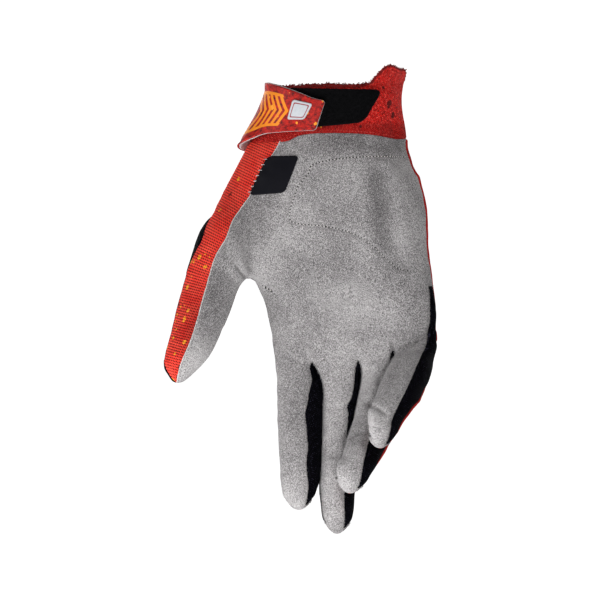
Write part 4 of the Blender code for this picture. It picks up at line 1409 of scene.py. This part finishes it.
def geometry_tree(name, sockets):
    """A geometry tree with named inputs, as its tree, its nodes and the sockets of its input."""
    tree = bpy.data.node_groups.new(name, "GeometryNodeTree")
    for label, kind in sockets:
        tree.interface.new_socket(label, in_out="INPUT", socket_type="NodeSocket" + kind)
    tree.interface.new_socket("Geometry", in_out="OUTPUT", socket_type="NodeSocketGeometry")
    nodes = Nodes(tree)
    return tree, nodes, nodes.add("NodeGroupInput").outputs


def yarn_arc(nodes, half, foot, top, radius, sides):
    """A solid arc of yarn: half its span, the level of its feet, the level that it is drawn
    halfway to, and its section."""
    start = nodes.add("ShaderNodeCombineXYZ", {
        0: nodes.math("MULTIPLY", half, -1.0), 2: foot}).outputs[0]
    end = nodes.add("ShaderNodeCombineXYZ", {0: half, 2: foot}).outputs[0]
    middle = nodes.add("ShaderNodeCombineXYZ", {2: top}).outputs[0]
    arc = nodes.add("GeometryNodeCurveQuadraticBezier", {
        "Resolution": 4, "Start": start, "Middle": middle, "End": end}).outputs[0]
    section = nodes.add("GeometryNodeCurvePrimitiveCircle", {
        "Resolution": sides, "Radius": radius}).outputs[0]
    return nodes.add("GeometryNodeCurveToMesh", {
        "Curve": arc, "Profile Curve": section, "Fill Caps": True}).outputs[0]


def place_copies(nodes, points, item, rotation, material):
    """Ends a tree with copies of an item at some points, as one mesh with its material."""
    placed = nodes.add("GeometryNodeInstanceOnPoints", {
        "Points": points, "Instance": item, "Rotation": rotation}).outputs[0]
    real = nodes.add("GeometryNodeRealizeInstances", {0: placed}).outputs[0]
    coloured = nodes.add("GeometryNodeSetMaterial", {"Geometry": real, "Material": material})
    nodes.add("NodeGroupOutput", {0: coloured.outputs[0]})


def pile_tree():
    """Small loops of yarn that stand all over a mesh."""
    tree, nodes, given = geometry_tree("loop_pile", (
        ("Geometry", "Geometry"), ("Density", "Float"), ("Loop height", "Float"),
        ("Yarn radius", "Float"), ("Yarn", "Material")))
    spread = nodes.add("GeometryNodeDistributePointsOnFaces", {
        "Mesh": given["Geometry"], "Density": given["Density"], "Seed": 7})
    half = nodes.math("MULTIPLY", given["Loop height"], 0.45)
    top = nodes.math("MULTIPLY", given["Loop height"], 2.0)
    loop = yarn_arc(nodes, half, 0.0, top, given["Yarn radius"], 3)
    turn = nodes.add("FunctionNodeRandomValue", {
        "Min": (-0.5, -0.5, 0.0), "Max": (0.5, 0.5, 6.28), "Seed": 3},
        data_type="FLOAT_VECTOR").outputs[0]
    turned = nodes.add("FunctionNodeRotateRotation", {
        "Rotation": spread.outputs["Rotation"], "Rotate By": turn}, rotation_space="LOCAL").outputs[0]
    place_copies(nodes, spread.outputs[0], loop, turned, given["Yarn"])
    return tree


def grown_mesh(name, source, tree, values):
    """What a geometry tree makes of a mesh, as a plain mesh."""
    carrier = bpy.data.objects.new(name, source)
    bpy.context.scene.collection.objects.link(carrier)
    modifier = carrier.modifiers.new(name, "NODES")
    modifier.node_group = tree
    for item in tree.interface.items_tree:
        if item.in_out == "INPUT" and item.name in values:
            modifier[item.identifier] = values[item.name]
    graph = bpy.context.evaluated_depsgraph_get()
    mesh = bpy.data.meshes.new_from_object(carrier.evaluated_get(graph))
    carrier.modifiers.remove(modifier)
    bpy.data.objects.remove(carrier, do_unlink=True)
    mesh.name = name
    mesh.shade_smooth()
    return mesh


form = Surface(skin_places, skin_faces, -HEM_MARGIN * CUFF_HEIGHT)
loop_corners = outline_corners((0, 0), (WRIST_WIDTH, CUFF_HEIGHT), LOOP_OUTLINE)
loop_mesh = patch_on("loop_patch", form, loop_corners, LOOP_TAPE)
loop_black = finish_material("loop_pile", loop_nodes)
show("loop_tape", loop_mesh, loop_black, "loop_pile", "loop_patch")

# The pile grows on the outside alone, which is the first faces of a plainer patch
top_mesh = patch_on("pile_ground", form, loop_corners, PILE_GROUND)
ground = bmesh.new()
ground.from_mesh(top_mesh)
ground.faces.ensure_lookup_table()
wide, high = PILE_GROUND.size
outside_faces = round(wide / PILE_GROUND.step) * round(high / PILE_GROUND.step)
bmesh.ops.delete(ground, geom=ground.faces[outside_faces:], context="FACES")
ground.to_mesh(top_mesh)
ground.free()
pile_mesh = grown_mesh("pile", top_mesh, pile_tree(), {
    "Density": PILE_DENSITY / MM ** 2, "Loop height": PILE_HEIGHT * MM,
    "Yarn radius": PILE_RADIUS * MM, "Yarn": loop_black})
show("loop_tape_pile", pile_mesh, loop_black, "loop_pile")


# Closing strap
# A flat strap sewn to the back of the cuff, drawn round the thumb's side of the wrist and closed
# on the loop patch. A light grey hook backing shows as its edge, and its face is a red film
# printed with drops and a block of slanted orange bars.

STRAP_WIDTH = 24.0
STRAP_FACE_WALL = 1.0
STRAP_BACKING_WALL = 1.0
STRAP_EDGE = 0.5
STRAP_FACE_EDGE = 0.4
STRAP_FACE_GAP = 0.1
STRAP_CORNER = 2.6
STRAP_STEP = 0.8

# The strap's length as its print is drawn. Laid round the wrist, the strap is longer
STRAP_LENGTH = 66.0

BACKING_DARK = (0.34, 0.31, 0.32, 1)
BACKING_LIGHT = (0.72, 0.68, 0.68, 1)


class Station(NamedTuple):
    """One line across the strap: angles round the wrist, shares of the strap's width, how far
    it is lifted by the loop patch (1 on the patch, 0 on the cuff), and how far its two edges
    stand off further in millimetres."""
    top_angle: float
    top_down: float
    bottom_angle: float
    bottom_down: float
    over: float
    top_off: float
    bottom_off: float


STRAP = (
    Station(6, 0.39, 20, 0.96, 1.0, 0.0, 0.0),
    Station(20, 0.33, 33, 0.97, 1.0, 0.0, 0.0),
    Station(34, 0.22, 46, 0.98, 1.0, 0.0, 0.0),
    Station(50, 0.11, 60, 1.00, 1.0, 0.2, 0.2),
    Station(68, 0.03, 74, 1.04, 0.8, 0.6, 0.8),
    Station(86, -0.01, 88, 1.22, 0.5, 1.0, 2.1),
    Station(104, 0.00, 104, 1.38, 0.3, 0.9, 2.6),
    Station(124, 0.04, 124, 1.38, 0.1, 0.4, 1.2),
    Station(146, 0.08, 146, 1.36, 0.0, 0.0, 0.0),
)
strap_table = smooth_line(STRAP, 16)


def strap_place(across, down, lift, grow):
    """A place on the strap, from its sewn end (0) to its tip (1) and from its top edge down."""
    spot = (1 - across) * (len(strap_table) - 1)
    number = min(int(spot), len(strap_table) - 2)
    share = spot - number
    values = strap_table[number] * (1 - share) + strap_table[number + 1] * share
    top_angle, top_down, bottom_angle, bottom_down, over, top_off, bottom_off = values
    top = -top_down * STRAP_WIDTH + grow
    bottom = -bottom_down * STRAP_WIDTH - grow
    angle = top_angle + (bottom_angle - top_angle) * down

    # The tip's end grows as well, round the wrist
    angle -= math.degrees(2 * grow / WRIST_WIDTH) * across ** 8
    stand_off = top_off + (bottom_off - top_off) * down ** 2
    patch = over * (LOOP_WALL + LAY_GAP)
    return form.around(angle, top + (bottom - top) * down, lift + patch + stand_off)


def strap_sheet(name, lift, grow, wall, roll):
    """One layer of the strap, larger than its outline by what it grows."""
    size = (STRAP_LENGTH, STRAP_WIDTH)
    grid = rounded_grid(*size, STRAP_CORNER, STRAP_STEP)
    return sheet_mesh(name, grid, lambda a, d: strap_place(a, d, lift + wall, grow), size, wall, roll)


# The print's block of bars between two rails, along the strap and away from its middle line
BAR_PITCH = 3.4
BAR_SLANT = 0.6
BAR_SHARES = (0.12, 0.66)
RAIL = (7.1, 8.5)
BLOCK_HALF = 8.5
BLOCK_SPAN = (27.1, 47.1)
BAR_ORANGE = (0.90, 0.27, 0.010, 1)

# Shades of the red print, and where each begins in its clouds
CLOUDS = (
    (0.36, (0.05, 0.003, 0.004, 1)),
    (0.46, (0.30, 0.008, 0.007, 1)),
    (0.62, (0.60, 0.018, 0.010, 1)),
)


def print_nodes(nodes):
    """Red print with darker clouds, orange drops and a block of slanted orange bars."""
    place = cloth_place(nodes)
    along, across, _ = nodes.add("ShaderNodeSeparateXYZ", {0: place}).outputs
    red = nodes.ramp(nodes.noise(place, 0.42, 4.0, 0.75), CLOUDS)
    red = speckled(nodes, red, place, SPECK_DARK, 3.4, 0.34, 0.4, 0.8)
    red = speckled(nodes, red, place, SPECK_ORANGE, 4.0, 0.42, 0.35)
    from_middle = nodes.math("ABSOLUTE", nodes.math("SUBTRACT", across, 0.5 * STRAP_WIDTH))
    slant = nodes.math("MULTIPLY_ADD", from_middle, BAR_SLANT, along)
    bar = nodes.math("FRACT", nodes.math("DIVIDE", slant, BAR_PITCH))
    rail = nodes.band(from_middle, *RAIL, blur=0.05)
    bar = nodes.math("MAXIMUM", nodes.band(bar, *BAR_SHARES, blur=0.02), rail)
    rows = nodes.step(from_middle, BLOCK_HALF + 0.1, BLOCK_HALF - 0.1)
    ends = nodes.band(slant, *BLOCK_SPAN, blur=0.1)
    block = nodes.math("MULTIPLY", nodes.math("MULTIPLY", bar, rows), ends)
    colour = nodes.mix(block, red, BAR_ORANGE)
    return colour, nodes.noise(place, 2.2, 2.0, 0.6), 0.05, {
        "Roughness": 0.55, "Specular IOR Level": 0.22}


def backing_nodes(nodes):
    place = cloth_place(nodes)
    grain = nodes.noise(place, 1.6, 3.0, 0.6)
    return nodes.mix(grain, BACKING_DARK, BACKING_LIGHT), grain, 0.05, {
        "Roughness": 0.6, "Specular IOR Level": 0.35}


strap_print = finish_material("strap_print", print_nodes)
strap_grey = finish_material("strap_backing", backing_nodes)
backing_mesh = strap_sheet("strap_backing", LAY_GAP, STRAP_EDGE, STRAP_BACKING_WALL, SHEET_ROLL)
show("strap_hook_backing", backing_mesh, strap_grey, "strap_backing", "strap_backing")
face_lift = LAY_GAP + STRAP_BACKING_WALL + STRAP_FACE_GAP
face_mesh = strap_sheet("strap_face", face_lift, STRAP_FACE_EDGE, STRAP_FACE_WALL, SHEET_ROLL)
show("strap_printed_face", face_mesh, strap_print, "strap_print", "strap_face")


# Strap badge
# A white moulded patch bonded to the strap's printed face near its tip, with a thin dark red
# line inset from its edge.

BADGE = Patch((9.6, 8.8), 0.7, 1.2, 0.25, 0.35)
BADGE_SHADE = (0.48, 0.52, 0.56, 1)
BADGE_WHITE = (0.64, 0.66, 0.69, 1)
BADGE_RED = (0.30, 0.02, 0.03, 1)

# Where the red line begins and ends, in millimetres from the badge's edge
BADGE_LINE = (1.0, 1.45)

# The badge's middle, as shares of the wrist's width and the strap's, and its outline's corners
BADGE_PLACE = (-0.22, -0.54)
BADGE_OUTLINE = ((-0.32, 0.55), (0.70, 0.30), (-0.62, -0.58), (0.27, -0.58))


def sheet_surface(mesh):
    """A sheet's mesh, whose faces have four corners each, as a surface."""
    places = np.array([vertex.co for vertex in mesh.vertices])
    return Surface(places, np.array([tuple(face.vertices) for face in mesh.polygons]))


def badge_nodes(nodes):
    place = cloth_place(nodes)
    parts = nodes.add("ShaderNodeSeparateXYZ", {0: place}).outputs
    sides = []
    for part, size in zip(parts, BADGE.size):
        away = nodes.math("ABSOLUTE", nodes.math("SUBTRACT", part, size / 2))
        sides.append(nodes.math("SUBTRACT", size / 2, away))
    line = nodes.band(nodes.math("SMOOTH_MIN", *sides, BADGE.corner), *BADGE_LINE, blur=0.05)
    tone = nodes.mix(nodes.noise(place, 0.8), BADGE_SHADE, BADGE_WHITE)
    return nodes.mix(line, tone, BADGE_RED), nodes.noise(place, 4.0), 0.02, {
        "Roughness": 0.4, "Specular IOR Level": 0.45}


strap_surface = sheet_surface(face_mesh)
badge_middle = (BADGE_PLACE[0] * WRIST_WIDTH, BADGE_PLACE[1] * STRAP_WIDTH)
badge_corners = outline_corners(badge_middle, BADGE.size, BADGE_OUTLINE)
badge_mesh = patch_on("badge", strap_surface, badge_corners, BADGE)
badge_white = finish_material("badge_white", badge_nodes)
show("strap_badge_patch", badge_mesh, badge_white, "badge", "strap_badge")


# Palm label
# A black label of smooth rubber, bonded to the suede beside the thumb's gusset and caught in its
# seam.

LABEL = Patch((14.0, 18.0), 0.6, 2.0, 0.25, 0.6)
LABEL_DARK = (0.002, 0.002, 0.004, 1)
LABEL_LIGHT = (0.006, 0.006, 0.010, 1)

# The label's middle, as shares of the palm's width and length, and its outline's corners
LABEL_PLACE = (-0.31, -0.18)
LABEL_OUTLINE = ((-0.40, 0.53), (0.74, 0.55), (-1.06, -0.55), (0.22, -0.48))


def label_nodes(nodes):
    place = cloth_place(nodes)
    grain = nodes.noise(place, 2.5, 3.0, 0.6)
    return nodes.mix(grain, LABEL_DARK, LABEL_LIGHT), grain, 0.06, {
        "Roughness": 0.6, "Specular IOR Level": 0.12}


palm_surface = Surface(skin_places, skin_faces)
label_middle = (LABEL_PLACE[0] * PALM_WIDTH, -CUFF_HEIGHT + LABEL_PLACE[1] * PALM_LENGTH)
label_corners = outline_corners(label_middle, LABEL.size, LABEL_OUTLINE)
label_mesh = patch_on("label", palm_surface, label_corners, LABEL)
label_black = finish_material("label_black", label_nodes)
show("palm_label_patch", label_mesh, label_black, "label", "palm_label")


# Palm stitching
# Light grey thread that holds the second layer of suede over the heel of the hand and the fold at the
# thumb's web. Each stitch goes down through a small hole, and the shade in each hole is painted as a
# short dark arc of thread.


class Stitch(NamedTuple):
    """A stitch of a row, in millimetres: the step to the next one, its length, its thread's
    radius and its arch. Scatter is the most it turns at random, in radians."""
    pitch: float
    length: float
    radius: float
    arch: float = 0.5
    scatter: float = 0.06


PALM_STITCH = Stitch(1.7, 0.95, 0.2)
NEEDLE_HOLE_SHADOW = Stitch(1.7, 0.8, 0.36)
WEB_ROW_MOVE = (1.6, -1.2)
RUN_STEP = 0.85
RUN_LIFT = 0.02


def stitch_tree():
    """Stitches of thread along the curves that a mesh's edges make."""
    tree, nodes, given = geometry_tree("thread_stitches", (
        ("Geometry", "Geometry"), ("Pitch", "Float"), ("Stitch length", "Float"),
        ("Thread radius", "Float"), ("Arch", "Float"), ("Scatter", "Float"), ("Thread", "Material")))
    curve = nodes.add("GeometryNodeMeshToCurve", {"Mesh": given["Geometry"]}).outputs[0]
    spaced = nodes.add("GeometryNodeResampleCurve", {
        "Curve": curve, "Length": given["Pitch"]}, mode="LENGTH").outputs[0]
    half = nodes.math("MULTIPLY", given["Stitch length"], 0.5)
    sunk = nodes.math("MULTIPLY", given["Thread radius"], -1.6)
    stitch = yarn_arc(nodes, half, sunk, given["Arch"], given["Thread radius"], 5)
    tangent = nodes.add("GeometryNodeInputTangent").outputs[0]
    up = nodes.add(
        "GeometryNodeInputNamedAttribute", {"Name": "up"}, data_type="FLOAT_VECTOR").outputs[0]
    turned = nodes.add("FunctionNodeAlignRotationToVector", {"Vector": tangent}, axis="X").outputs[0]
    turned = nodes.add("FunctionNodeAlignRotationToVector", {
        "Rotation": turned, "Vector": up}, axis="Z", pivot_axis="X").outputs[0]
    most = given["Scatter"]
    least = nodes.math("MULTIPLY", most, -1.0)
    shift = nodes.add("FunctionNodeRandomValue", {
        "Min": nodes.add("ShaderNodeCombineXYZ", {0: least, 1: least, 2: least}).outputs[0],
        "Max": nodes.add("ShaderNodeCombineXYZ", {0: most, 1: most, 2: most}).outputs[0],
        "Seed": 5}, data_type="FLOAT_VECTOR").outputs[0]
    turned = nodes.add("FunctionNodeRotateRotation", {
        "Rotation": turned, "Rotate By": shift}, rotation_space="LOCAL").outputs[0]
    place_copies(nodes, spaced, stitch, turned, given["Thread"])
    return tree


def path_mesh(name, runs):
    """A mesh of open paths. Each run is a list of places and normals."""
    mesh = bpy.data.meshes.new(name)
    places, ups, edges = [], [], []
    for run in runs:
        first = len(places)
        places += [place for place, _ in run]
        ups += [up for _, up in run]
        edges += [(first + i, first + i + 1) for i in range(len(run) - 1)]
    mesh.from_pydata(places, edges, [])
    layer = mesh.attributes.new("up", "FLOAT_VECTOR", "POINT")
    layer.data.foreach_set("vector", np.array(ups, float).ravel())
    return mesh


def thread_material(name, dark, light):
    """Twisted thread between two shades."""
    def thread_nodes(nodes):
        place = nodes.add("ShaderNodeTexCoord").outputs["Object"]
        twist = nodes.noise(place, 2500.0, 2.0, 0.6)
        return nodes.mix(twist, dark, light), twist, 0.04, {
            "Roughness": 0.7, "Specular IOR Level": 0.3}
    return finish_material(name, thread_nodes)


def stitched(name, runs, stitch, material, slot):
    """Shows rows of stitches along some runs of places and normals."""
    mesh = grown_mesh(name, path_mesh(name, runs), stitches, {
        "Pitch": stitch.pitch * MM, "Stitch length": stitch.length * MM,
        "Thread radius": stitch.radius * MM, "Arch": stitch.arch * MM,
        "Scatter": stitch.scatter, "Thread": material})
    show(name, mesh, material, slot)


def palm_run(points, start=0.0):
    """Places and normals along a line on the palm side, from some millimetres past its start."""
    line = smooth_line(points, 8)
    lengths = np.concatenate(([0.0], np.cumsum(np.linalg.norm(np.diff(line, axis=0), axis=1))))
    marks = np.arange(start, lengths[-1], RUN_STEP)
    across, down = (np.interp(marks, lengths, line[:, axis]) for axis in (0, 1))
    return [palm_surface.in_front(x, z, RUN_LIFT) for x, z in zip(across, down)]


stitches = stitch_tree()
grey_thread = thread_material("grey_thread", (0.50, 0.48, 0.47, 1), (0.92, 0.89, 0.87, 1))
hole_shade = thread_material("needle_hole_shadow", (0.012, 0.011, 0.011, 1), (0.03, 0.028, 0.028, 1))
second_row = tuple((x + WEB_ROW_MOVE[0], z + WEB_ROW_MOVE[1]) for x, z in WEB_SEAM)
suede_seams = (("heel", HEEL_SEAM), ("web", WEB_SEAM), ("web_second", second_row))
for name, points in suede_seams:
    stitched(name + "_stitches", [palm_run(points)], PALM_STITCH, grey_thread, "suede")
    # Painted shade: short dark arcs between the stitches stand for the shade in the needle holes
    holes = [palm_run(points, PALM_STITCH.pitch / 2)]
    stitched(name + "_needle_hole_shadows", holes, NEEDLE_HOLE_SHADOW, hole_shade, "suede")


# Seam threads
# The panels' seams are sewn with short bar stitches in the panels' colours. White bars hold the
# label beside the thumb's gusset, and a red row closes the cuff's lower edge.

CUFF_STITCH = Stitch(1.5, 0.95, 0.17)
CUFF_INSET = 1.1
GUSSET_STITCH = Stitch(0.8, 0.9, 0.2, 0.35, 0.5)
GUSSET_INSET = 0.3
LABEL_STITCH = Stitch(1.0, 0.85, 0.17, 0.6)
LABEL_TICKS = (0.08, 0.22, 0.36, 0.50, 0.64, 0.78, 0.92)
LABEL_TICK_INSET = 0.03
LABEL_TICK_ENDS = (-0.9, 0.1)
LABEL_TICK_LIFT = 0.5
SEAM_LIFT = 0.08

# Seams with fewer corners than this carry no stitches
SHORTEST_SEAM = 4

red_thread = thread_material("red_thread", (0.30, 0.012, 0.012, 1), (0.80, 0.11, 0.09, 1))
white_thread = thread_material("white_thread", (0.45, 0.44, 0.44, 1), (0.85, 0.84, 0.83, 1))


def seam_runs(panel, other, inset):
    """Lines along the seams that a panel shares with another, inset into the first one."""
    faces = skin_faces[skin_panels == panel]
    after = rim_steps(faces)
    before = {end: start for start, end in after.items()}
    shared = set(np.intersect1d(faces, skin_faces[skin_panels == other]).tolist())
    runs = []
    for start in sorted(corner for corner in shared if before[corner] not in shared):
        chain = [start]
        while after[chain[-1]] in shared:
            chain.append(after[chain[-1]])
        if len(chain) >= SHORTEST_SEAM:
            places, normals = skin_places[chain], skin_normals[chain]
            inward = np.cross(normals, np.gradient(places, axis=0))
            inward /= np.linalg.norm(inward, axis=1)[:, None]
            places = places + (inward * inset + normals * SEAM_LIFT) * MM
            runs.append([(Vector(place), Vector(normal)) for place, normal in zip(places, normals)])
    return runs


cuff_seams = seam_runs(CUFF, PALM, CUFF_INSET) + seam_runs(CUFF, BACK, CUFF_INSET)
stitched("cuff_seam_stitches", cuff_seams, CUFF_STITCH, red_thread, "cuff_knit")
gusset_seams = seam_runs(PALM, GUSSET, GUSSET_INSET)
stitched("gusset_seam_stitches", gusset_seams, GUSSET_STITCH, grey_thread, "suede")

label_ticks = []
for share in LABEL_TICKS:
    x, z = inside_outline(label_corners, LABEL_TICK_INSET, share)
    ends = [palm_surface.in_front(x + step, z, LABEL_TICK_LIFT) for step in LABEL_TICK_ENDS]
    label_ticks.append(ends)
stitched("label_stitches", label_ticks, LABEL_STITCH, white_thread, "label")


# Suede nap at the cut edges
# Short grey fibres of the suede stand out along its cut edges beside the black mesh, where the
# nap has been rubbed up.

EDGE_FIBRE = Stitch(0.55, 0.8, 0.09, 1.1, 1.2)
FIBRE_INSET = 0.15

nap_thread = thread_material("suede_fibre", (0.16, 0.15, 0.15, 1), (0.55, 0.53, 0.53, 1))
for other in (FORK_ONE, FORK_TWO, FORK_THREE, SIDE):
    edges = seam_runs(PALM, other, FIBRE_INSET)
    stitched("suede_edge_fibres_" + PANELS[other], edges, EDGE_FIBRE, nap_thread, "suede")


# Frayed hem
# The cuff's hem is cut and left raw, so ends of its yarn stand out in all directions: a close
# fringe of short ones, and a few that reach further.

SHORT_FRAY = Stitch(0.26, 1.4, 0.18, 1.5, 0.8)
LONG_FRAY = Stitch(1.6, 1.1, 0.2, 3.2, 0.8)
FRAY_DEPTH = 0.4

hem_after = rim_steps(skin_faces)
hem = [min(hem_after, key=lambda corner: skin_places[corner, 0])]
while hem_after[hem[-1]] != hem[0]:
    hem.append(hem_after[hem[-1]])
upward = Vector((0, 0, 1))
hem_run = [(Vector(skin_places[corner]) - Vector(skin_normals[corner]) * FRAY_DEPTH * MM, upward)
           for corner in hem + hem[:1]]
frayed_yarn = thread_material("frayed_yarn", (0.03, 0.003, 0.003, 1), (0.42, 0.010, 0.010, 1))
stitched("frayed_hem", [hem_run], SHORT_FRAY, frayed_yarn, "cuff_knit")
stitched("frayed_hem_ends", [hem_run], LONG_FRAY, frayed_yarn, "cuff_knit")


# Studio
# A pale round room with a smooth foot, a soft light low in front of the palm, weaker ones on
# both sides of it, two behind the glove, and a long lens level with the glove's middle. Its
# sizes are in metres.

FRAME_WIDTH = 0.300
CAMERA_AWAY = 5.0
SENSOR = 36.0
FRAME_MIDDLE = (-0.015, -0.108)
ROOM_RADIUS = 9.0
ROOM_HEIGHT = 7.0
ROOM_FOOT = 3.0
ROOM_FOOT_STEPS = 12
ROOM_SIDES = 64
ROOM_SHADE = (0.80, 0.80, 0.80, 1)
ROOM_GLOW = 1.0
AIR_GLOW = 0.18
FLOOR_LEVEL = -0.75

room = bmesh.new()
profile = [Vector((0, 0, 0))]
for step in range(ROOM_FOOT_STEPS + 1):
    turn = math.radians(90 * step / ROOM_FOOT_STEPS)
    profile.append(Vector((
        ROOM_RADIUS - ROOM_FOOT + ROOM_FOOT * math.sin(turn), 0, ROOM_FOOT * (1 - math.cos(turn)))))
profile.append(Vector((ROOM_RADIUS, 0, ROOM_HEIGHT)))
verts = [room.verts.new(place + Vector((0, 0, FLOOR_LEVEL))) for place in profile]
edges = [room.edges.new(pair) for pair in zip(verts, verts[1:])]
bmesh.ops.spin(
    room, geom=verts + edges, cent=(0, 0, 0), axis=(0, 0, 1), angle=2 * math.pi, steps=ROOM_SIDES)
bmesh.ops.remove_doubles(room, verts=room.verts[:], dist=0.0001)
room_mesh = bpy.data.meshes.new("studio_room")
room.to_mesh(room_mesh)
room.free()
room_mesh.shade_smooth()
pale = bpy.data.materials.new("studio_pale")
pale.use_nodes = True
pale_nodes = Nodes(pale.node_tree)
pale_shader = pale.node_tree.nodes["Principled BSDF"]
pale_shader.inputs["Base Color"].default_value = ROOM_SHADE
pale_shader.inputs["Roughness"].default_value = 1.0
pale_shader.inputs["Emission Color"].default_value = (1, 1, 1, 1)
seen = pale_nodes.add("ShaderNodeLightPath").outputs["Is Camera Ray"]
pale.node_tree.links.new(
    pale_nodes.math("MULTIPLY", seen, ROOM_GLOW), pale_shader.inputs["Emission Strength"])
room_mesh.materials.append(pale)
room_object = bpy.data.objects.new("studio_room", room_mesh)
bpy.context.scene.collection.objects.link(room_object)


class Lamp(NamedTuple):
    """A soft light: its place and size in metres and its power in watts."""
    place: tuple
    size: float
    power: float


LAMPS = (
    Lamp((-0.14, -0.33, -0.47), 0.30, 2.4),
    Lamp((-0.80, -0.22, -0.10), 0.5, 4.0),
    Lamp((0.32, -0.40, 0.16), 0.3, 1.15),
    Lamp((-0.45, 0.95, 0.35), 0.7, 5.0),
    Lamp((0.75, 0.85, 0.10), 0.7, 5.0),
)
for number, lamp in enumerate(LAMPS):
    light = bpy.data.lights.new(f"soft_light_{number}", "AREA")
    light.shape = "DISK"
    light.size = lamp.size
    light.energy = lamp.power
    holder = bpy.data.objects.new(light.name, light)
    holder.location = lamp.place
    aim = Vector((0, 0, FRAME_MIDDLE[1])) - Vector(lamp.place)
    holder.rotation_euler = aim.to_track_quat("-Z", "Y").to_euler()
    holder.visible_camera = False
    bpy.context.scene.collection.objects.link(holder)

world = bpy.data.worlds.new("studio_air")
world.use_nodes = True
world.node_tree.nodes["Background"].inputs["Color"].default_value = (1, 1, 1, 1)
world.node_tree.nodes["Background"].inputs["Strength"].default_value = AIR_GLOW
bpy.context.scene.world = world
bpy.context.scene.view_settings.view_transform = "Standard"

lens = bpy.data.cameras.new("long_lens")
lens.sensor_width = SENSOR
lens.lens = SENSOR * CAMERA_AWAY / FRAME_WIDTH
camera = bpy.data.objects.new("camera", lens)
camera.location = (FRAME_MIDDLE[0], -CAMERA_AWAY, FRAME_MIDDLE[1])
camera.rotation_euler = (math.radians(90), 0, 0)
bpy.context.scene.collection.objects.link(camera)
bpy.context.scene.camera = camera
